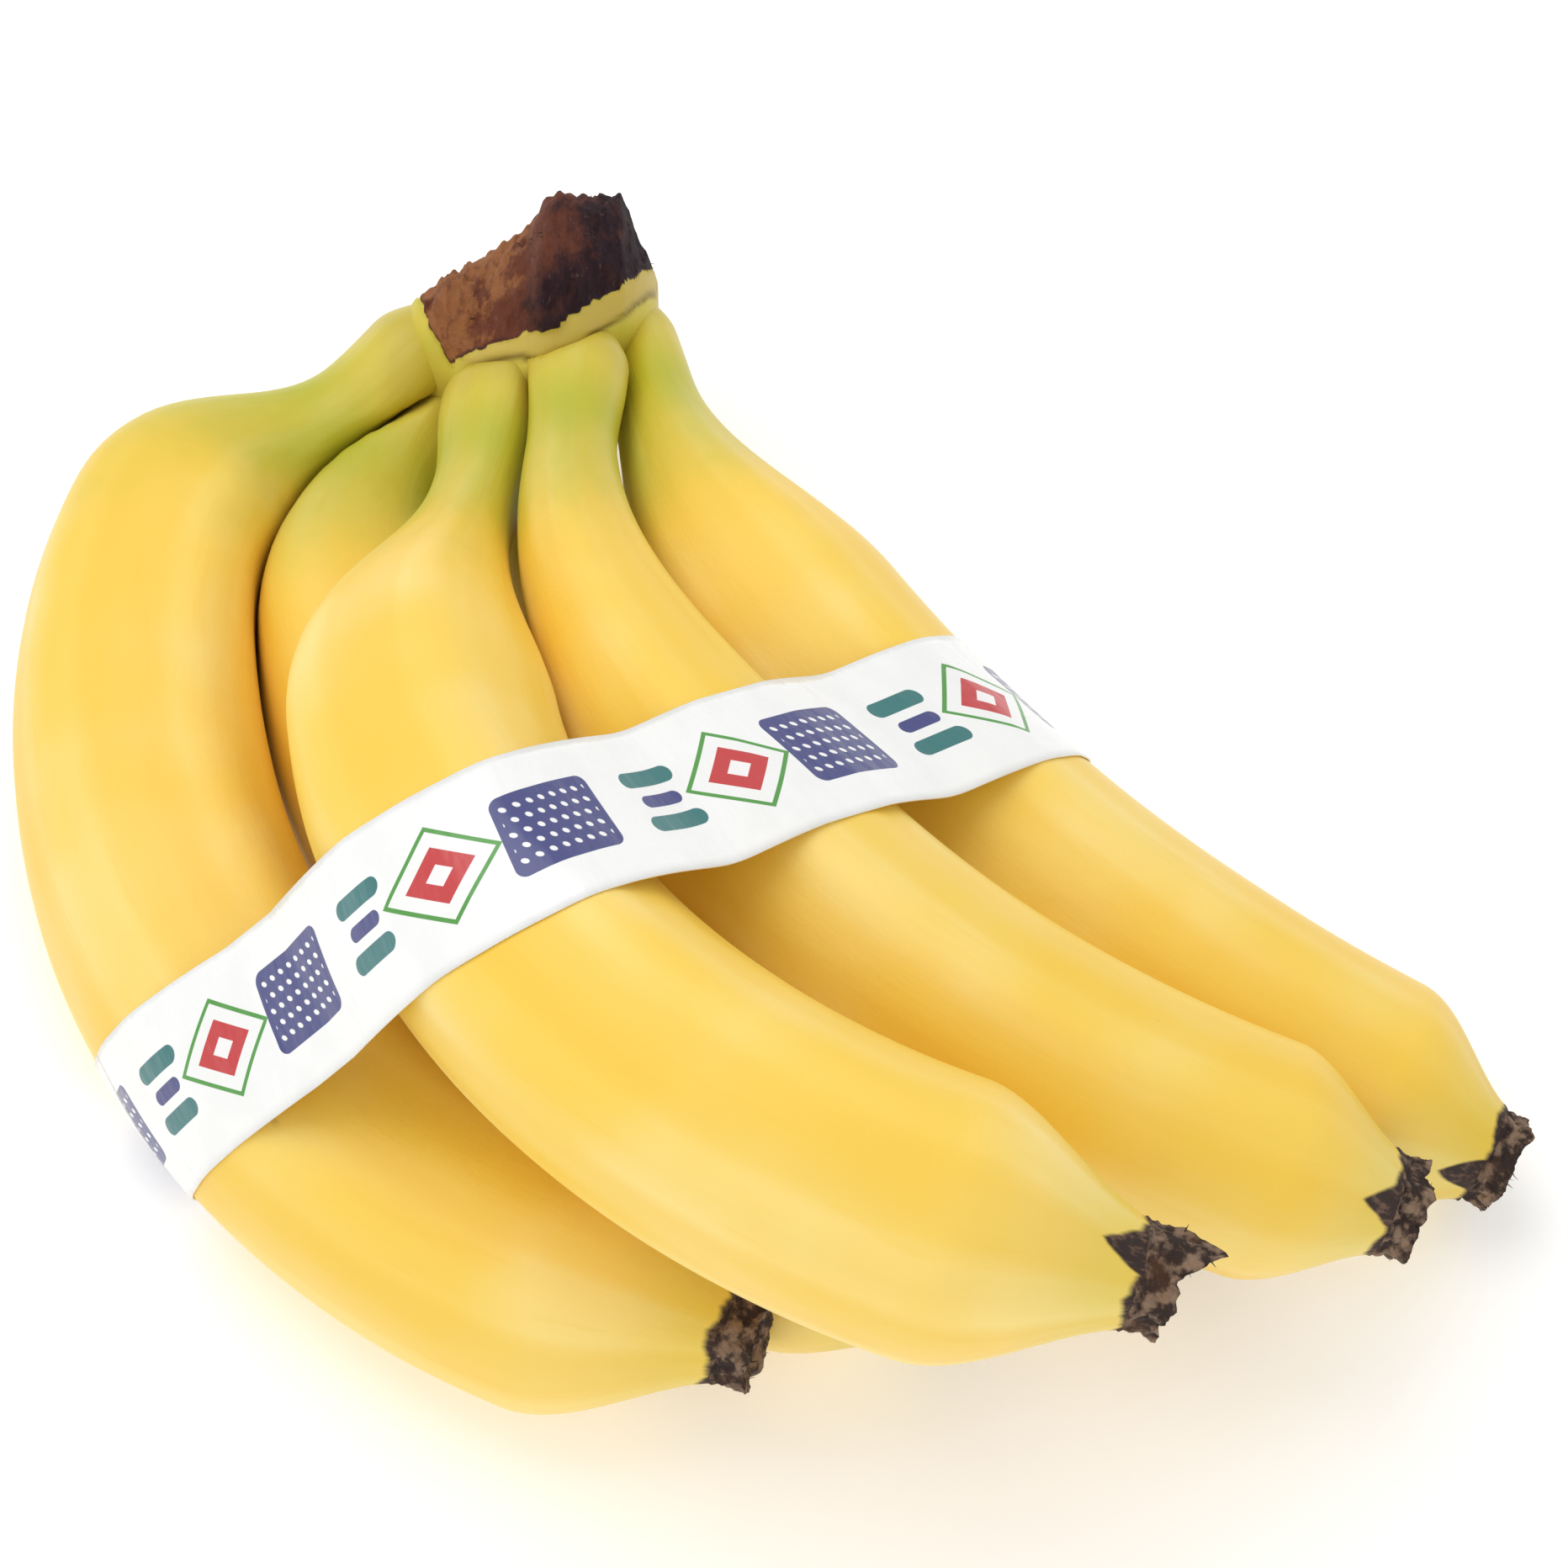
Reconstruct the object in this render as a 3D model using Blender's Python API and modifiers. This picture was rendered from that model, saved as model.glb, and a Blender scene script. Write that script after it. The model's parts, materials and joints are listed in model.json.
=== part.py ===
"""Bunch of bananas: six fruits, the crown that joins them and the paper band round them.

Metres, +Z up, the bunch lies on Z = 0 with its long axis along X, crown towards -X.
"""
import math

import bpy
import numpy as np

MM = 0.001
COLLECTION = "banana_bunch"

# Each fruit: where its neck starts inside the crown (mm), the way it sets out (azimuth and
# elevation), the roll of its bend, the turn in the neck and in the body, a sideways lean
# (degrees), its length and its radius (mm), where the neck widens and where the end begins.
FRUITS = {
    "banana_1": dict(root=(-50.8, 88, 36.9), azimuth=-151.2, elevation=-15.4, roll=106.1,
                     neck=46.3, body=79.7, lean=-36, length=245.8, radius=19.7,
                     flare=(0.10, 0.26), end=0.86),
    "banana_2": dict(root=(-43.1, 78.5, 35.6), azimuth=-95.6, elevation=14.9, roll=64.9,
                     neck=-12.5, body=97.8, lean=21.8, length=241.2, radius=19.3,
                     flare=(0.15, 0.39), end=0.85),
    "banana_3": dict(root=(-32.5, 81.1, 40.5), azimuth=-91.1, elevation=11.7, roll=79.1,
                     neck=12, body=73, lean=-12.4, length=222.8, radius=17.1,
                     flare=(0.08, 0.53), end=0.89),
    "banana_4": dict(root=(-27.4, 93.4, 34.7), azimuth=-73.3, elevation=4.5, roll=56.1,
                     neck=12.9, body=40.5, lean=10.2, length=209.6, radius=18.3,
                     flare=(0.10, 0.35), end=0.88),
    "banana_5": dict(root=(-53, 85.1, 25.6), azimuth=-117.5, elevation=-5.3, roll=91.8,
                     neck=42.7, body=39.8, lean=-3, length=203.9, radius=17.2,
                     flare=(0.11, 0.38), end=0.85),
    "banana_6": dict(root=(-35.3, 90.3, 27.2), azimuth=-99.2, elevation=-6.4, roll=91.3,
                     neck=27.9, body=40, lean=-0.7, length=195.9, radius=16.6,
                     flare=(0.10, 0.37), end=0.83),
}

# Crown: stations along its width with the middle of the section and its half depth and
# half height (mm).
CROWN = [
    (-60, 85, 34, 5.0, 7.0),
    (-57, 85, 34, 8.5, 11.5),
    (-50, 84, 36.5, 11.5, 15.0),
    (-41, 85, 39.5, 15.0, 18.5),
    (-36, 87, 41, 15.5, 19.5),
    (-31, 88, 40.5, 14.5, 19.0),
    (-25, 91, 39.5, 12.5, 17.5),
    (-23.4, 91, 38, 10.5, 14.0),
    (-21.8, 91, 36.5, 8.5, 11.0),
    (-20.2, 91, 35.5, 6.0, 7.5),
]
CROWN_POWER = 2.4

BAND_NORMAL = np.array([0.456, -0.827, -0.329])
BAND_OFFSET = -6.7
BAND_WIDTH = 25.4
BAND_GAP = 0.7
BAND_THICK = 0.6

# The fruits are laid out as the camera saw them; LEVEL is the way up from the floor there.
LEVEL = (0.036, -0.024, 1.0)
TURN = 54.0
SHIFT = (2.4, 21.669)
FLOOR = 1.8
BAND_LIFT = 1.45
GAP = 0.8
SOFT = 1.2
NECK_RADIUS = 7.2
ROOT_RADIUS = 5.0
NECK_STEP = 0.008
NECK_GAP = 0.75
TIP_RADIUS = 6.9
SIDES = 24
STEPS = 160

STATIONS = [0, 0.02, 0.042, 0.066, 0.09, 0.115, 0.14, 0.165, 0.19, 0.22, 0.25, 0.285, 0.32,
            0.36, 0.41, 0.46, 0.51, 0.56, 0.61, 0.66, 0.705, 0.745, 0.78, 0.81, 0.838,
            0.862, 0.884, 0.904, 0.922, 0.938, 0.952, 0.966, 0.983, 1.0]


def smooth(value, low, high):
    """Ease from 0 at low to 1 at high."""
    part = np.clip((np.asarray(value, float) - low) / (high - low), 0.0, 1.0)
    return part * part * (3.0 - 2.0 * part)


def bump(value, low, high):
    """A rounded hump between low and high."""
    middle = (low + high) / 2
    part = np.clip((np.asarray(value, float) - middle) / ((high - low) / 2), -1.0, 1.0)
    return (1.0 + np.cos(math.pi * part)) / 2


def rotate(vector, axis, angle):
    """Turn a vector about a unit axis."""
    return (vector * math.cos(angle) + np.cross(axis, vector) * math.sin(angle)
            + axis * np.dot(axis, vector) * (1 - math.cos(angle)))


def frame_axes():
    """The part's X, Y and Z directions in the layout."""
    up = np.array(LEVEL) / np.linalg.norm(LEVEL)
    ahead = np.array([math.cos(math.radians(TURN)), -math.sin(math.radians(TURN)), 0.0])
    ahead = ahead - up * np.dot(ahead, up)
    ahead /= np.linalg.norm(ahead)
    return np.array([ahead, np.cross(up, ahead), up])


def centreline(fruit):
    """Points of the axis with the heading, inward bend and side direction at each."""
    middle = (np.arange(STEPS) + 0.5) / STEPS
    neck_share = bump(middle, 0.04, 0.34)
    neck_share /= neck_share.sum()
    body_share = smooth(middle, 0.12, 0.30) * (1 - smooth(middle, 0.80, 1.0))
    body_share /= body_share.sum()
    azimuth = math.radians(fruit["azimuth"])
    elevation = math.radians(fruit["elevation"])
    roll = math.radians(fruit["roll"])
    heading = np.array([math.cos(elevation) * math.cos(azimuth),
                        math.cos(elevation) * math.sin(azimuth), math.sin(elevation)])
    down = np.array([0.0, 0.0, -1.0])
    down = down - heading * np.dot(down, heading)
    down /= np.linalg.norm(down)
    across = np.cross(heading, down)
    inward = math.cos(roll) * down + math.sin(roll) * across
    side = np.cross(heading, inward)
    point = np.array(fruit["root"], float)
    step = fruit["length"] / STEPS
    rows = [(point, heading, np.cross(side, heading), side)]
    for index in range(STEPS):
        turn = math.radians(fruit["neck"] * neck_share[index] + fruit["body"] * body_share[index])
        lean = math.radians(fruit["lean"] * body_share[index])
        heading = rotate(heading, side, turn / 2)
        point = point + heading * step
        heading = rotate(heading, side, turn / 2)
        tipped = heading * math.cos(lean) + side * math.sin(lean)
        side = side * math.cos(lean) - heading * math.sin(lean)
        heading = tipped
        rows.append((point, heading, np.cross(side, heading), side))
    return [np.array(column) for column in zip(*rows)]


def round_radius(t, fruit):
    """Radius of the fruit along its length, without ridges."""
    full = NECK_RADIUS + (fruit["radius"] - NECK_RADIUS) * smooth(t, *fruit["flare"])
    end = smooth(t, fruit["end"], 0.992)
    return full * (1 - end) + TIP_RADIUS * end


def ridged_radius(t, angle, fruit):
    """Radius with the five soft ridges of the peel and the lobes of the dried end."""
    ridge = 0.035 * np.cos(5 * (angle - math.radians(36)))
    ridge = ridge * smooth(t, 0.05, 0.25) * (1 - 0.4 * smooth(t, 0.8, 0.95))
    ragged = 0.07 * np.cos(5 * angle + 0.6) * smooth(t, 0.965, 0.99)
    flare = 0.05 * smooth(t, 0.98, 1.0)
    root = 1.0 - (1.0 - ROOT_RADIUS / NECK_RADIUS) * (1 - smooth(t, 0.0, 0.05))
    return round_radius(t, fruit) * (1 + ridge + ragged + flare) * root


def at(lines, t):
    """Point and section directions of a centreline at t."""
    place = np.clip(np.asarray(t, float), 0, 1) * STEPS
    low = np.minimum(place.astype(int), STEPS - 1)
    part = (place - low)[..., None]
    return [column[low] * (1 - part) + column[low + 1] * part for column in lines]


def reach(points, lines, fruit):
    """How far each point lies outside the round body of a fruit."""
    axis = lines[0]
    t = np.arange(STEPS + 1) / STEPS
    radius = round_radius(t, fruit)
    flat = points.reshape(-1, 3)
    out = np.empty(len(flat))
    for start in range(0, len(flat), 4000):
        some = flat[start:start + 4000]
        gap = np.linalg.norm(some[:, None, :] - axis[None, :, :], axis=2) - radius[None, :]
        out[start:start + 4000] = gap.min(axis=1)
    return out.reshape(points.shape[:-1])


def floor_height(points):
    """Height each point must stay above: the floor, a little more under the band."""
    along = points @ BAND_NORMAL - BAND_OFFSET
    under = 1 - smooth(np.abs(along), BAND_WIDTH / 2 + 11.0, BAND_WIDTH / 2 + 20.0)
    return FLOOR + BAND_LIFT * under


def crown_at(x):
    """Middle and half sizes of the crown's section at x, by straight steps."""
    rows = np.array(CROWN, float)
    return [np.interp(x, rows[:, 0], rows[:, column]) for column in (1, 2, 3, 4)]


def inside_crown(points, extra):
    """Below 1 inside the crown made larger by extra."""
    y, z, depth, height = crown_at(points[..., 0])
    a = np.abs(points[..., 1] - y) / (depth + extra)
    b = np.abs(points[..., 2] - z) / (height + extra)
    value = (a ** CROWN_POWER + b ** CROWN_POWER) ** (1 / CROWN_POWER)
    beyond = np.maximum(CROWN[0][0] - extra - points[..., 0],
                        points[..., 0] - CROWN[-1][0] - extra)
    return np.where(beyond > 0, 2.0, value)


def neck_start(lines, fruit, angle, share):
    """Where along the neck a lengthwise line leaves the crown, by stepping out of it."""
    t = np.linspace(0.0, 0.25, 501)
    point, _, inward, side = at(lines, t)
    radius = ridged_radius(t, angle, fruit) * share
    line = point + radius[:, None] * (math.cos(angle) * inward + math.sin(angle) * side)
    held = np.nonzero(inside_crown(line, NECK_GAP) < 1.0)[0]
    return float(t[held[-1] + 1]) if len(held) else 0.0


def pressed_rings(name, all_lines, starts):
    """Rings of one fruit, held back from its neighbours and the floor."""
    fruit = FRUITS[name]
    lines = all_lines[name]
    angles = np.arange(SIDES) * 2 * math.pi / SIDES
    base = np.array(STATIONS)
    t = base[:, None] + starts[None, :] * (1 - base[:, None]) ** 6
    ring = np.broadcast_to(angles[None, :], t.shape)
    point, _, inward, side = at(lines, t)
    ray = np.cos(ring)[..., None] * inward + np.sin(ring)[..., None] * side
    wanted = ridged_radius(t, ring, fruit)
    low = np.zeros_like(wanted)
    high = wanted + 8.0
    others = [other for other in FRUITS if other != name]
    for _ in range(15):
        middle = (low + high) / 2
        place = point + middle[..., None] * ray
        own = reach(place, lines, fruit)
        near = np.min([reach(place, all_lines[other], FRUITS[other]) for other in others],
                      axis=0)
        clear = near - own >= GAP
        low = np.where(clear, middle, low)
        high = np.where(clear, high, middle)
    pressed = -SOFT * np.log(np.exp(-wanted / SOFT) + np.exp(-low / SOFT))
    pressed = np.where(low >= wanted + 7.5, wanted, pressed)
    pressed = np.maximum(pressed, 1.0)
    place = point + pressed[..., None] * ray
    lift = np.maximum(floor_height(place) - place @ frame_axes()[2], 0.0)
    place = place + lift[..., None] * frame_axes()[2]
    return place, pressed[0] / wanted[0], pressed[0]


def fruit_mesh(name, all_lines):
    """One fruit: a cut neck that follows the crown, pressed rings and a dished tip."""
    fruit = FRUITS[name]
    lines = all_lines[name]
    angles = np.arange(SIDES) * 2 * math.pi / SIDES
    share = np.ones(SIDES)
    for _ in range(3):
        starts = np.array([neck_start(lines, fruit, angle, part)
                           for angle, part in zip(angles, share)])
        latest = np.maximum(np.roll(starts, 1), np.roll(starts, -1))
        starts = np.maximum(starts, latest - NECK_STEP)
        place, share, size = pressed_rings(name, all_lines, starts)
    inner = []
    for part in (0.33, 0.66):
        row = []
        for index, angle in enumerate(angles):
            start = neck_start(lines, fruit, angle, part * share[index])
            spot, _, toward, across = at(lines, np.array(start))
            direction = math.cos(angle) * toward + math.sin(angle) * across
            row.append(tuple(spot + part * size[index] * direction))
        inner.append(row)
    centre = at(lines, np.array(neck_start(lines, fruit, 0.0, 0.0)))[0]
    tip_point = lines[0][-1]
    tip_heading = lines[1][-1]
    dish = [tuple(tip_point + (spot - tip_point) * 0.6 - tip_heading * 0.9)
            for spot in place[-1]]
    rows = inner + [list(map(tuple, row)) for row in place] + [dish]
    return closed_rows(rows, tuple(centre), tuple(tip_point - tip_heading * 1.6))


def closed_rows(rows, first, last):
    """A closed mesh from rings of equal count with a point at each end."""
    count = len(rows[0])
    points = [spot for row in rows for spot in row]
    faces = []
    for index in range(len(rows) - 1):
        for corner in range(count):
            following = (corner + 1) % count
            a = index * count + corner
            b = index * count + following
            faces.append((a, b, b + count, a + count))
    points.append(first)
    points.append(last)
    for corner in range(count):
        following = (corner + 1) % count
        faces.append((len(points) - 2, following, corner))
        end = (len(rows) - 1) * count
        faces.append((len(points) - 1, end + corner, end + following))
    return points, faces


def crown_mesh():
    """The crown as rings along its width, a little uneven, with blunt ends."""
    rows = []
    places = [-60, -59.4, -58.4, -57, -54, -50, -45.5, -41, -38.5, -36, -33.5, -31, -28,
              -25, -23.4, -21.8, -20.7, -20.2]
    for number, x in enumerate(places):
        y, z, depth, height = [float(value) for value in crown_at(x)]
        row = []
        for corner in range(28):
            angle = corner * 2 * math.pi / 28
            cosine = math.cos(angle)
            sine = math.sin(angle)
            size = (abs(cosine) ** CROWN_POWER + abs(sine) ** CROWN_POWER) ** (-1 / CROWN_POWER)
            uneven = 0.975 + 0.025 * math.sin(3 * angle + 0.31 * x) * math.cos(0.23 * x)
            shrink = size * uneven
            if number in (0, len(places) - 1):
                shrink *= 0.8
            row.append((x, y + depth * shrink * cosine, z + height * shrink * sine))
        rows.append(row)
    first = crown_at(places[0])
    last = crown_at(places[-1])
    return closed_rows(rows, (places[0] + 0.5, float(first[0]), float(first[1])),
                       (places[-1] - 0.5, float(last[0]), float(last[1])))


def hull(points):
    """Outline of a flat set of points, turning left."""
    points = sorted(set((round(float(a), 5), round(float(b), 5)) for a, b in points))

    def half(sequence):
        chain = []
        for spot in sequence:
            while len(chain) > 1:
                ax, ay = chain[-2]
                bx, by = chain[-1]
                if (bx - ax) * (spot[1] - ay) - (by - ay) * (spot[0] - ax) > 0:
                    break
                chain.pop()
            chain.append(spot)
        return chain[:-1]
    return half(points) + half(points[::-1])


def grown(outline, amount):
    """The outline pushed out by an amount, with round corners."""
    points = []
    for x, y in outline:
        for corner in range(36):
            angle = corner * 2 * math.pi / 36
            size = amount / math.cos(math.pi / 36)
            points.append((x + size * math.cos(angle), y + size * math.sin(angle)))
    return hull(points)


def along_ray(outline, middle, angle):
    """Where a ray from the middle meets the outline."""
    dx = math.cos(angle)
    dy = math.sin(angle)
    best = 0.0
    for index, (ax, ay) in enumerate(outline):
        bx, by = outline[(index + 1) % len(outline)]
        ex = bx - ax
        ey = by - ay
        divide = dx * ey - dy * ex
        if abs(divide) < 1e-12:
            continue
        reach_out = ((ax - middle[0]) * ey - (ay - middle[1]) * ex) / divide
        share = ((ax - middle[0]) * dy - (ay - middle[1]) * dx) / divide
        if reach_out > 0 and -1e-9 <= share <= 1 + 1e-9:
            best = max(best, reach_out)
    return (middle[0] + best * dx, middle[1] + best * dy)


def band_mesh(fruits):
    """A taut loop round all the fruits: the outline of each crossing plane, joined."""
    normal = BAND_NORMAL / np.linalg.norm(BAND_NORMAL)
    across = np.cross(np.array([0.0, 0.0, 1.0]), normal)
    across /= np.linalg.norm(across)
    upward = np.cross(normal, across)
    outlines = []
    for number in range(5):
        level = BAND_OFFSET + BAND_WIDTH * (number / 4 - 0.5)
        cuts = []
        for points, faces in fruits:
            spots = np.array(points)
            height = spots @ normal - level
            for face in faces:
                for index in range(len(face)):
                    a = face[index]
                    b = face[(index + 1) % len(face)]
                    if (height[a] < 0) != (height[b] < 0):
                        part = height[a] / (height[a] - height[b])
                        spot = spots[a] * (1 - part) + spots[b] * part
                        cuts.append((spot @ across, spot @ upward))
        outlines.append((level, hull(cuts)))
    middle_outline = outlines[2][1]
    middle = tuple(np.mean(middle_outline, axis=0))
    ring = grown(middle_outline, BAND_GAP)
    lengths = [math.dist(ring[index], ring[(index + 1) % len(ring)]) for index in range(len(ring))]
    total = sum(lengths)
    count = 96
    angles = []
    for number in range(count):
        target = total * number / count
        index = 0
        while target > lengths[index]:
            target -= lengths[index]
            index += 1
        ax, ay = ring[index]
        bx, by = ring[(index + 1) % len(ring)]
        part = target / lengths[index]
        angles.append(math.atan2(ay + (by - ay) * part - middle[1],
                                 ax + (bx - ax) * part - middle[0]))
    rows = []
    for level, outline in outlines:
        base = normal * level
        near = grown(outline, BAND_GAP)
        rows.append([tuple(base + across * u + upward * v)
                     for u, v in (along_ray(near, middle, angle) for angle in angles)])
    points = [spot for row in rows for spot in row]
    faces = []
    for index in range(len(rows) - 1):
        for corner in range(count):
            following = (corner + 1) % count
            faces.append((index * count + corner, index * count + following,
                          (index + 1) * count + following, (index + 1) * count + corner))
    return points, faces


def placed(spot):
    """From the laid out bunch to the part's frame, in metres."""
    x, y, z = frame_axes() @ np.array(spot)
    return ((x + SHIFT[0]) * MM, (y + SHIFT[1]) * MM, (z - FLOOR) * MM)


def volume(points, faces):
    """Signed volume about the middle, positive when the faces look out."""
    total = 0.0
    middle = np.mean(points, axis=0)
    for face in faces:
        for index in range(1, len(face) - 1):
            a, b, c = (np.array(points[face[k]]) - middle for k in (0, index, index + 1))
            total += float(np.dot(a, np.cross(b, c))) / 6
    return total


def make_material(name, colour, roughness):
    """A Principled material."""
    material = bpy.data.materials.new(name)
    material.use_nodes = True
    shader = material.node_tree.nodes["Principled BSDF"]
    shader.inputs["Base Color"].default_value = (*colour, 1.0)
    shader.inputs["Roughness"].default_value = roughness
    shader.inputs["Metallic"].default_value = 0.0
    return material


def add_node(name, shape, origin, material, parent):
    """One named object on the bunch, with its own origin and material."""
    points, faces = shape
    points = [placed(spot) for spot in points]
    if volume(points, faces) < 0:
        faces = [tuple(reversed(face)) for face in faces]
    place = placed(origin)
    mesh = bpy.data.meshes.new(name)
    mesh.from_pydata([[a - b for a, b in zip(spot, place)] for spot in points], [], faces)
    mesh.materials.append(material)
    mesh.shade_smooth()
    item = bpy.data.objects.new(name, mesh)
    item.location = place
    item.parent = parent
    bpy.data.collections[COLLECTION].objects.link(item)
    return item


def main():
    for item in list(bpy.data.objects):
        bpy.data.objects.remove(item)
    collection = bpy.data.collections.new(COLLECTION)
    bpy.context.scene.collection.children.link(collection)
    bunch = bpy.data.objects.new("bunch_frame", None)
    collection.objects.link(bunch)
    peel = make_material("banana_peel", (0.95, 0.68, 0.08), 0.45)
    wood = make_material("crown_brown", (0.16, 0.07, 0.03), 0.85)
    paper = make_material("white_paper", (0.90, 0.90, 0.88), 0.35)
    all_lines = {name: centreline(fruit) for name, fruit in FRUITS.items()}
    fruits = []
    for name, fruit in FRUITS.items():
        shape = fruit_mesh(name, all_lines)
        fruits.append(shape)
        add_node(name, shape, fruit["root"], peel, bunch)
    add_node("crown", crown_mesh(), CROWN[3][:3], wood, bunch)
    band = add_node("paper_band", band_mesh(fruits), BAND_NORMAL * BAND_OFFSET, paper, bunch)
    wall = band.modifiers.new("thickness", "SOLIDIFY")
    wall.thickness = BAND_THICK * MM
    wall.offset = 1.0
    wall.use_even_offset = True


main()
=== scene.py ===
"""Bunch of bananas: ripe fruits joined by one dried crown, with a printed paper band.

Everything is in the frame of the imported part: metres, Z up, the bunch lies on Z = 0.
The fruits were laid out as seen from the camera; to_part() turns that layout into the
part's frame, and all sizes in the code below are in millimetres until a mesh is made.
"""
import json
import math

import bpy
import numpy as np
from bpy.props import FloatProperty, FloatVectorProperty, IntProperty, PointerProperty
from mathutils import Matrix, Vector, noise

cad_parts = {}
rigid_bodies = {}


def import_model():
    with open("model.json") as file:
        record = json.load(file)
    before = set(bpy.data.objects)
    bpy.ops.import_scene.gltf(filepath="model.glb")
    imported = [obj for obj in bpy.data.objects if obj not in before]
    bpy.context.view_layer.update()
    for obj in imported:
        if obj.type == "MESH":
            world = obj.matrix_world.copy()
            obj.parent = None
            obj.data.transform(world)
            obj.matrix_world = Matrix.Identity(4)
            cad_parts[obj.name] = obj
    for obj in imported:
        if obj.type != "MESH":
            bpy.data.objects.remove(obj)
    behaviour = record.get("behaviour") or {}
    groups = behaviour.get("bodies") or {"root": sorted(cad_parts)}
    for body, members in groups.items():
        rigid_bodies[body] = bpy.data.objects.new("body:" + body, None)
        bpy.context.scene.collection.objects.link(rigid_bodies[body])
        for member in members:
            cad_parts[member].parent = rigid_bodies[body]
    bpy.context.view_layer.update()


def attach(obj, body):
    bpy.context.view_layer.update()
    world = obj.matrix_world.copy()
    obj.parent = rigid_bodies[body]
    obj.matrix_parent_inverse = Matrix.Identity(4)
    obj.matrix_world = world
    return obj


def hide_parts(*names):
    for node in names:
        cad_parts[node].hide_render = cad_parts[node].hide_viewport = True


bl_info = {
    "name": "Banana Bunch",
    "version": (1, 0, 0),
    "blender": (4, 5, 0),
    "location": "View3D > Sidebar > Bananas",
    "description": "Bunch of bananas with its crown, dried ends and paper band",
    "category": "Add Mesh",
}

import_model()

MM = 0.001
BODY = "root"

# Each fruit. Its axis: root is where the neck starts inside the crown, azimuth and elevation
# the way it sets out, roll the side that it bends to, neck and body how far it turns there,
# lean a sideways turn (degrees), and nudge a small shift of the neck. Its skin: length,
# radius, flare (where the neck widens) and end (where the dried end begins to narrow) as
# shares of the length, stalk the neck's radius, shoulder how much wider it is at the crown.
# Its dried end: tongue is the angle at which the brown runs back (degrees), and horn the
# length of a dried point as a share of the length.
FRUITS = {
    "banana_1": dict(root=(-50.8, 88, 36.9), azimuth=-151.2, elevation=-15.4, roll=106.1,
                     neck=46.3, body=79.7, lean=-36, length=245.8, radius=20.3,
                     flare=(0.09, 0.24), end=0.87, stalk=8.5, shoulder=0.9, tongue=250,
                     nudge=(1.8, -2.6, -1.7)),
    "banana_2": dict(root=(-43.1, 78.5, 35.6), azimuth=-95.6, elevation=14.9, roll=64.9,
                     neck=-12.5, body=97.8, lean=21.8, length=241.2, radius=19.3,
                     flare=(0.15, 0.39), end=0.865, stalk=7.4, shoulder=2.4, tongue=130,
                     horn=0.022),
    "banana_3": dict(root=(-32.5, 81.1, 40.5), azimuth=-91.1, elevation=11.7, roll=79.1,
                     neck=12, body=73, lean=-12.4, length=222.8, radius=17.1,
                     flare=(0.08, 0.53), end=0.89, stalk=7.2, shoulder=2, tongue=130),
    "banana_4": dict(root=(-27.4, 93.4, 34.7), azimuth=-73.3, elevation=4.5, roll=56.1,
                     neck=12.9, body=40.5, lean=10.2, length=209.6, radius=18.3,
                     flare=(0.10, 0.35), end=0.885, stalk=7.2, shoulder=0.6, tongue=175),
    "banana_5": dict(root=(-53, 85.1, 25.6), azimuth=-117.5, elevation=-5.3, roll=91.8,
                     neck=42.7, body=39.8, lean=-3, length=203.9, radius=20.0,
                     flare=(0.05, 0.26), end=0.88, stalk=8.4, shoulder=3, tongue=150),
    "banana_6": dict(root=(-35.3, 90.3, 27.2), azimuth=-99.2, elevation=-6.4, roll=91.3,
                     neck=27.9, body=40, lean=-0.7, length=195.9, radius=16.6,
                     flare=(0.10, 0.37), end=0.83, stalk=7.2, shoulder=2, tongue=108),
}

# Crown: stations along its width, the middle of each section, its half depth and half height.
CROWN = [
    (-60, 85, 34, 5.0, 7.0),
    (-57, 85, 34, 8.5, 11.5),
    (-50, 84, 36.5, 11.5, 14.5),
    (-41, 85, 39.5, 15.0, 18.0),
    (-36, 87, 41, 15.0, 18.2),
    (-31, 88, 40.5, 14.0, 17.6),
    (-25, 91, 39.5, 12.0, 16.2),
    (-23.4, 91, 38, 10.5, 14.0),
    (-21.8, 91, 36.5, 8.5, 11.0),
    (-20.2, 91, 35.5, 6.0, 7.5),
]
CROWN_POWER = 2.4
CROWN_SIDES = 132

# Pits in the crown's bark: place, width and depth.
CROWN_PITS = [
    (-56.5, 80, 30, 1.6, 1.5), (-53, 76, 37, 1.5, 1.4), (-50.5, 76, 27, 1.3, 1.2),
    (-46, 75, 40, 1.8, 1.3), (-48.5, 76, 33, 2.2, 1.5), (-54.5, 78, 33, 1.2, 1.4),
    (-37, 81, 50, 1.7, 1.6), (-33, 79, 45, 1.2, 1.2),
]

# Lower edge of the crown's bark and the line under its lip, where a crease carries painted shade:
# place along the crown, and height up the picture.
BARK_EDGE = [(-60, 80.5), (-58.4, 77.6), (-55.8, 71.8), (-52.4, 66.2), (-45.6, 68), (-40.5, 69.4),
             (-35.4, 71.1), (-32, 73.5), (-28.6, 75.3), (-25.2, 77.8), (-21.5, 80.6), (-20, 81.4)]
LIP_LINE = [(-52, 65.4), (-42.2, 66.2), (-37.1, 66.7), (-32, 68.7), (-25.2, 73.2), (-21.5, 76.9),
            (-20, 78)]

# From the layout to the part's frame: the layout's up direction, a turn about it (degrees),
# a shift, and the height of the floor in the layout.
LEVEL = (0.036, -0.024, 1.0)
TURN = 54.0
SHIFT = (2.4, 21.669)
FLOOR = 1.8

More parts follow.
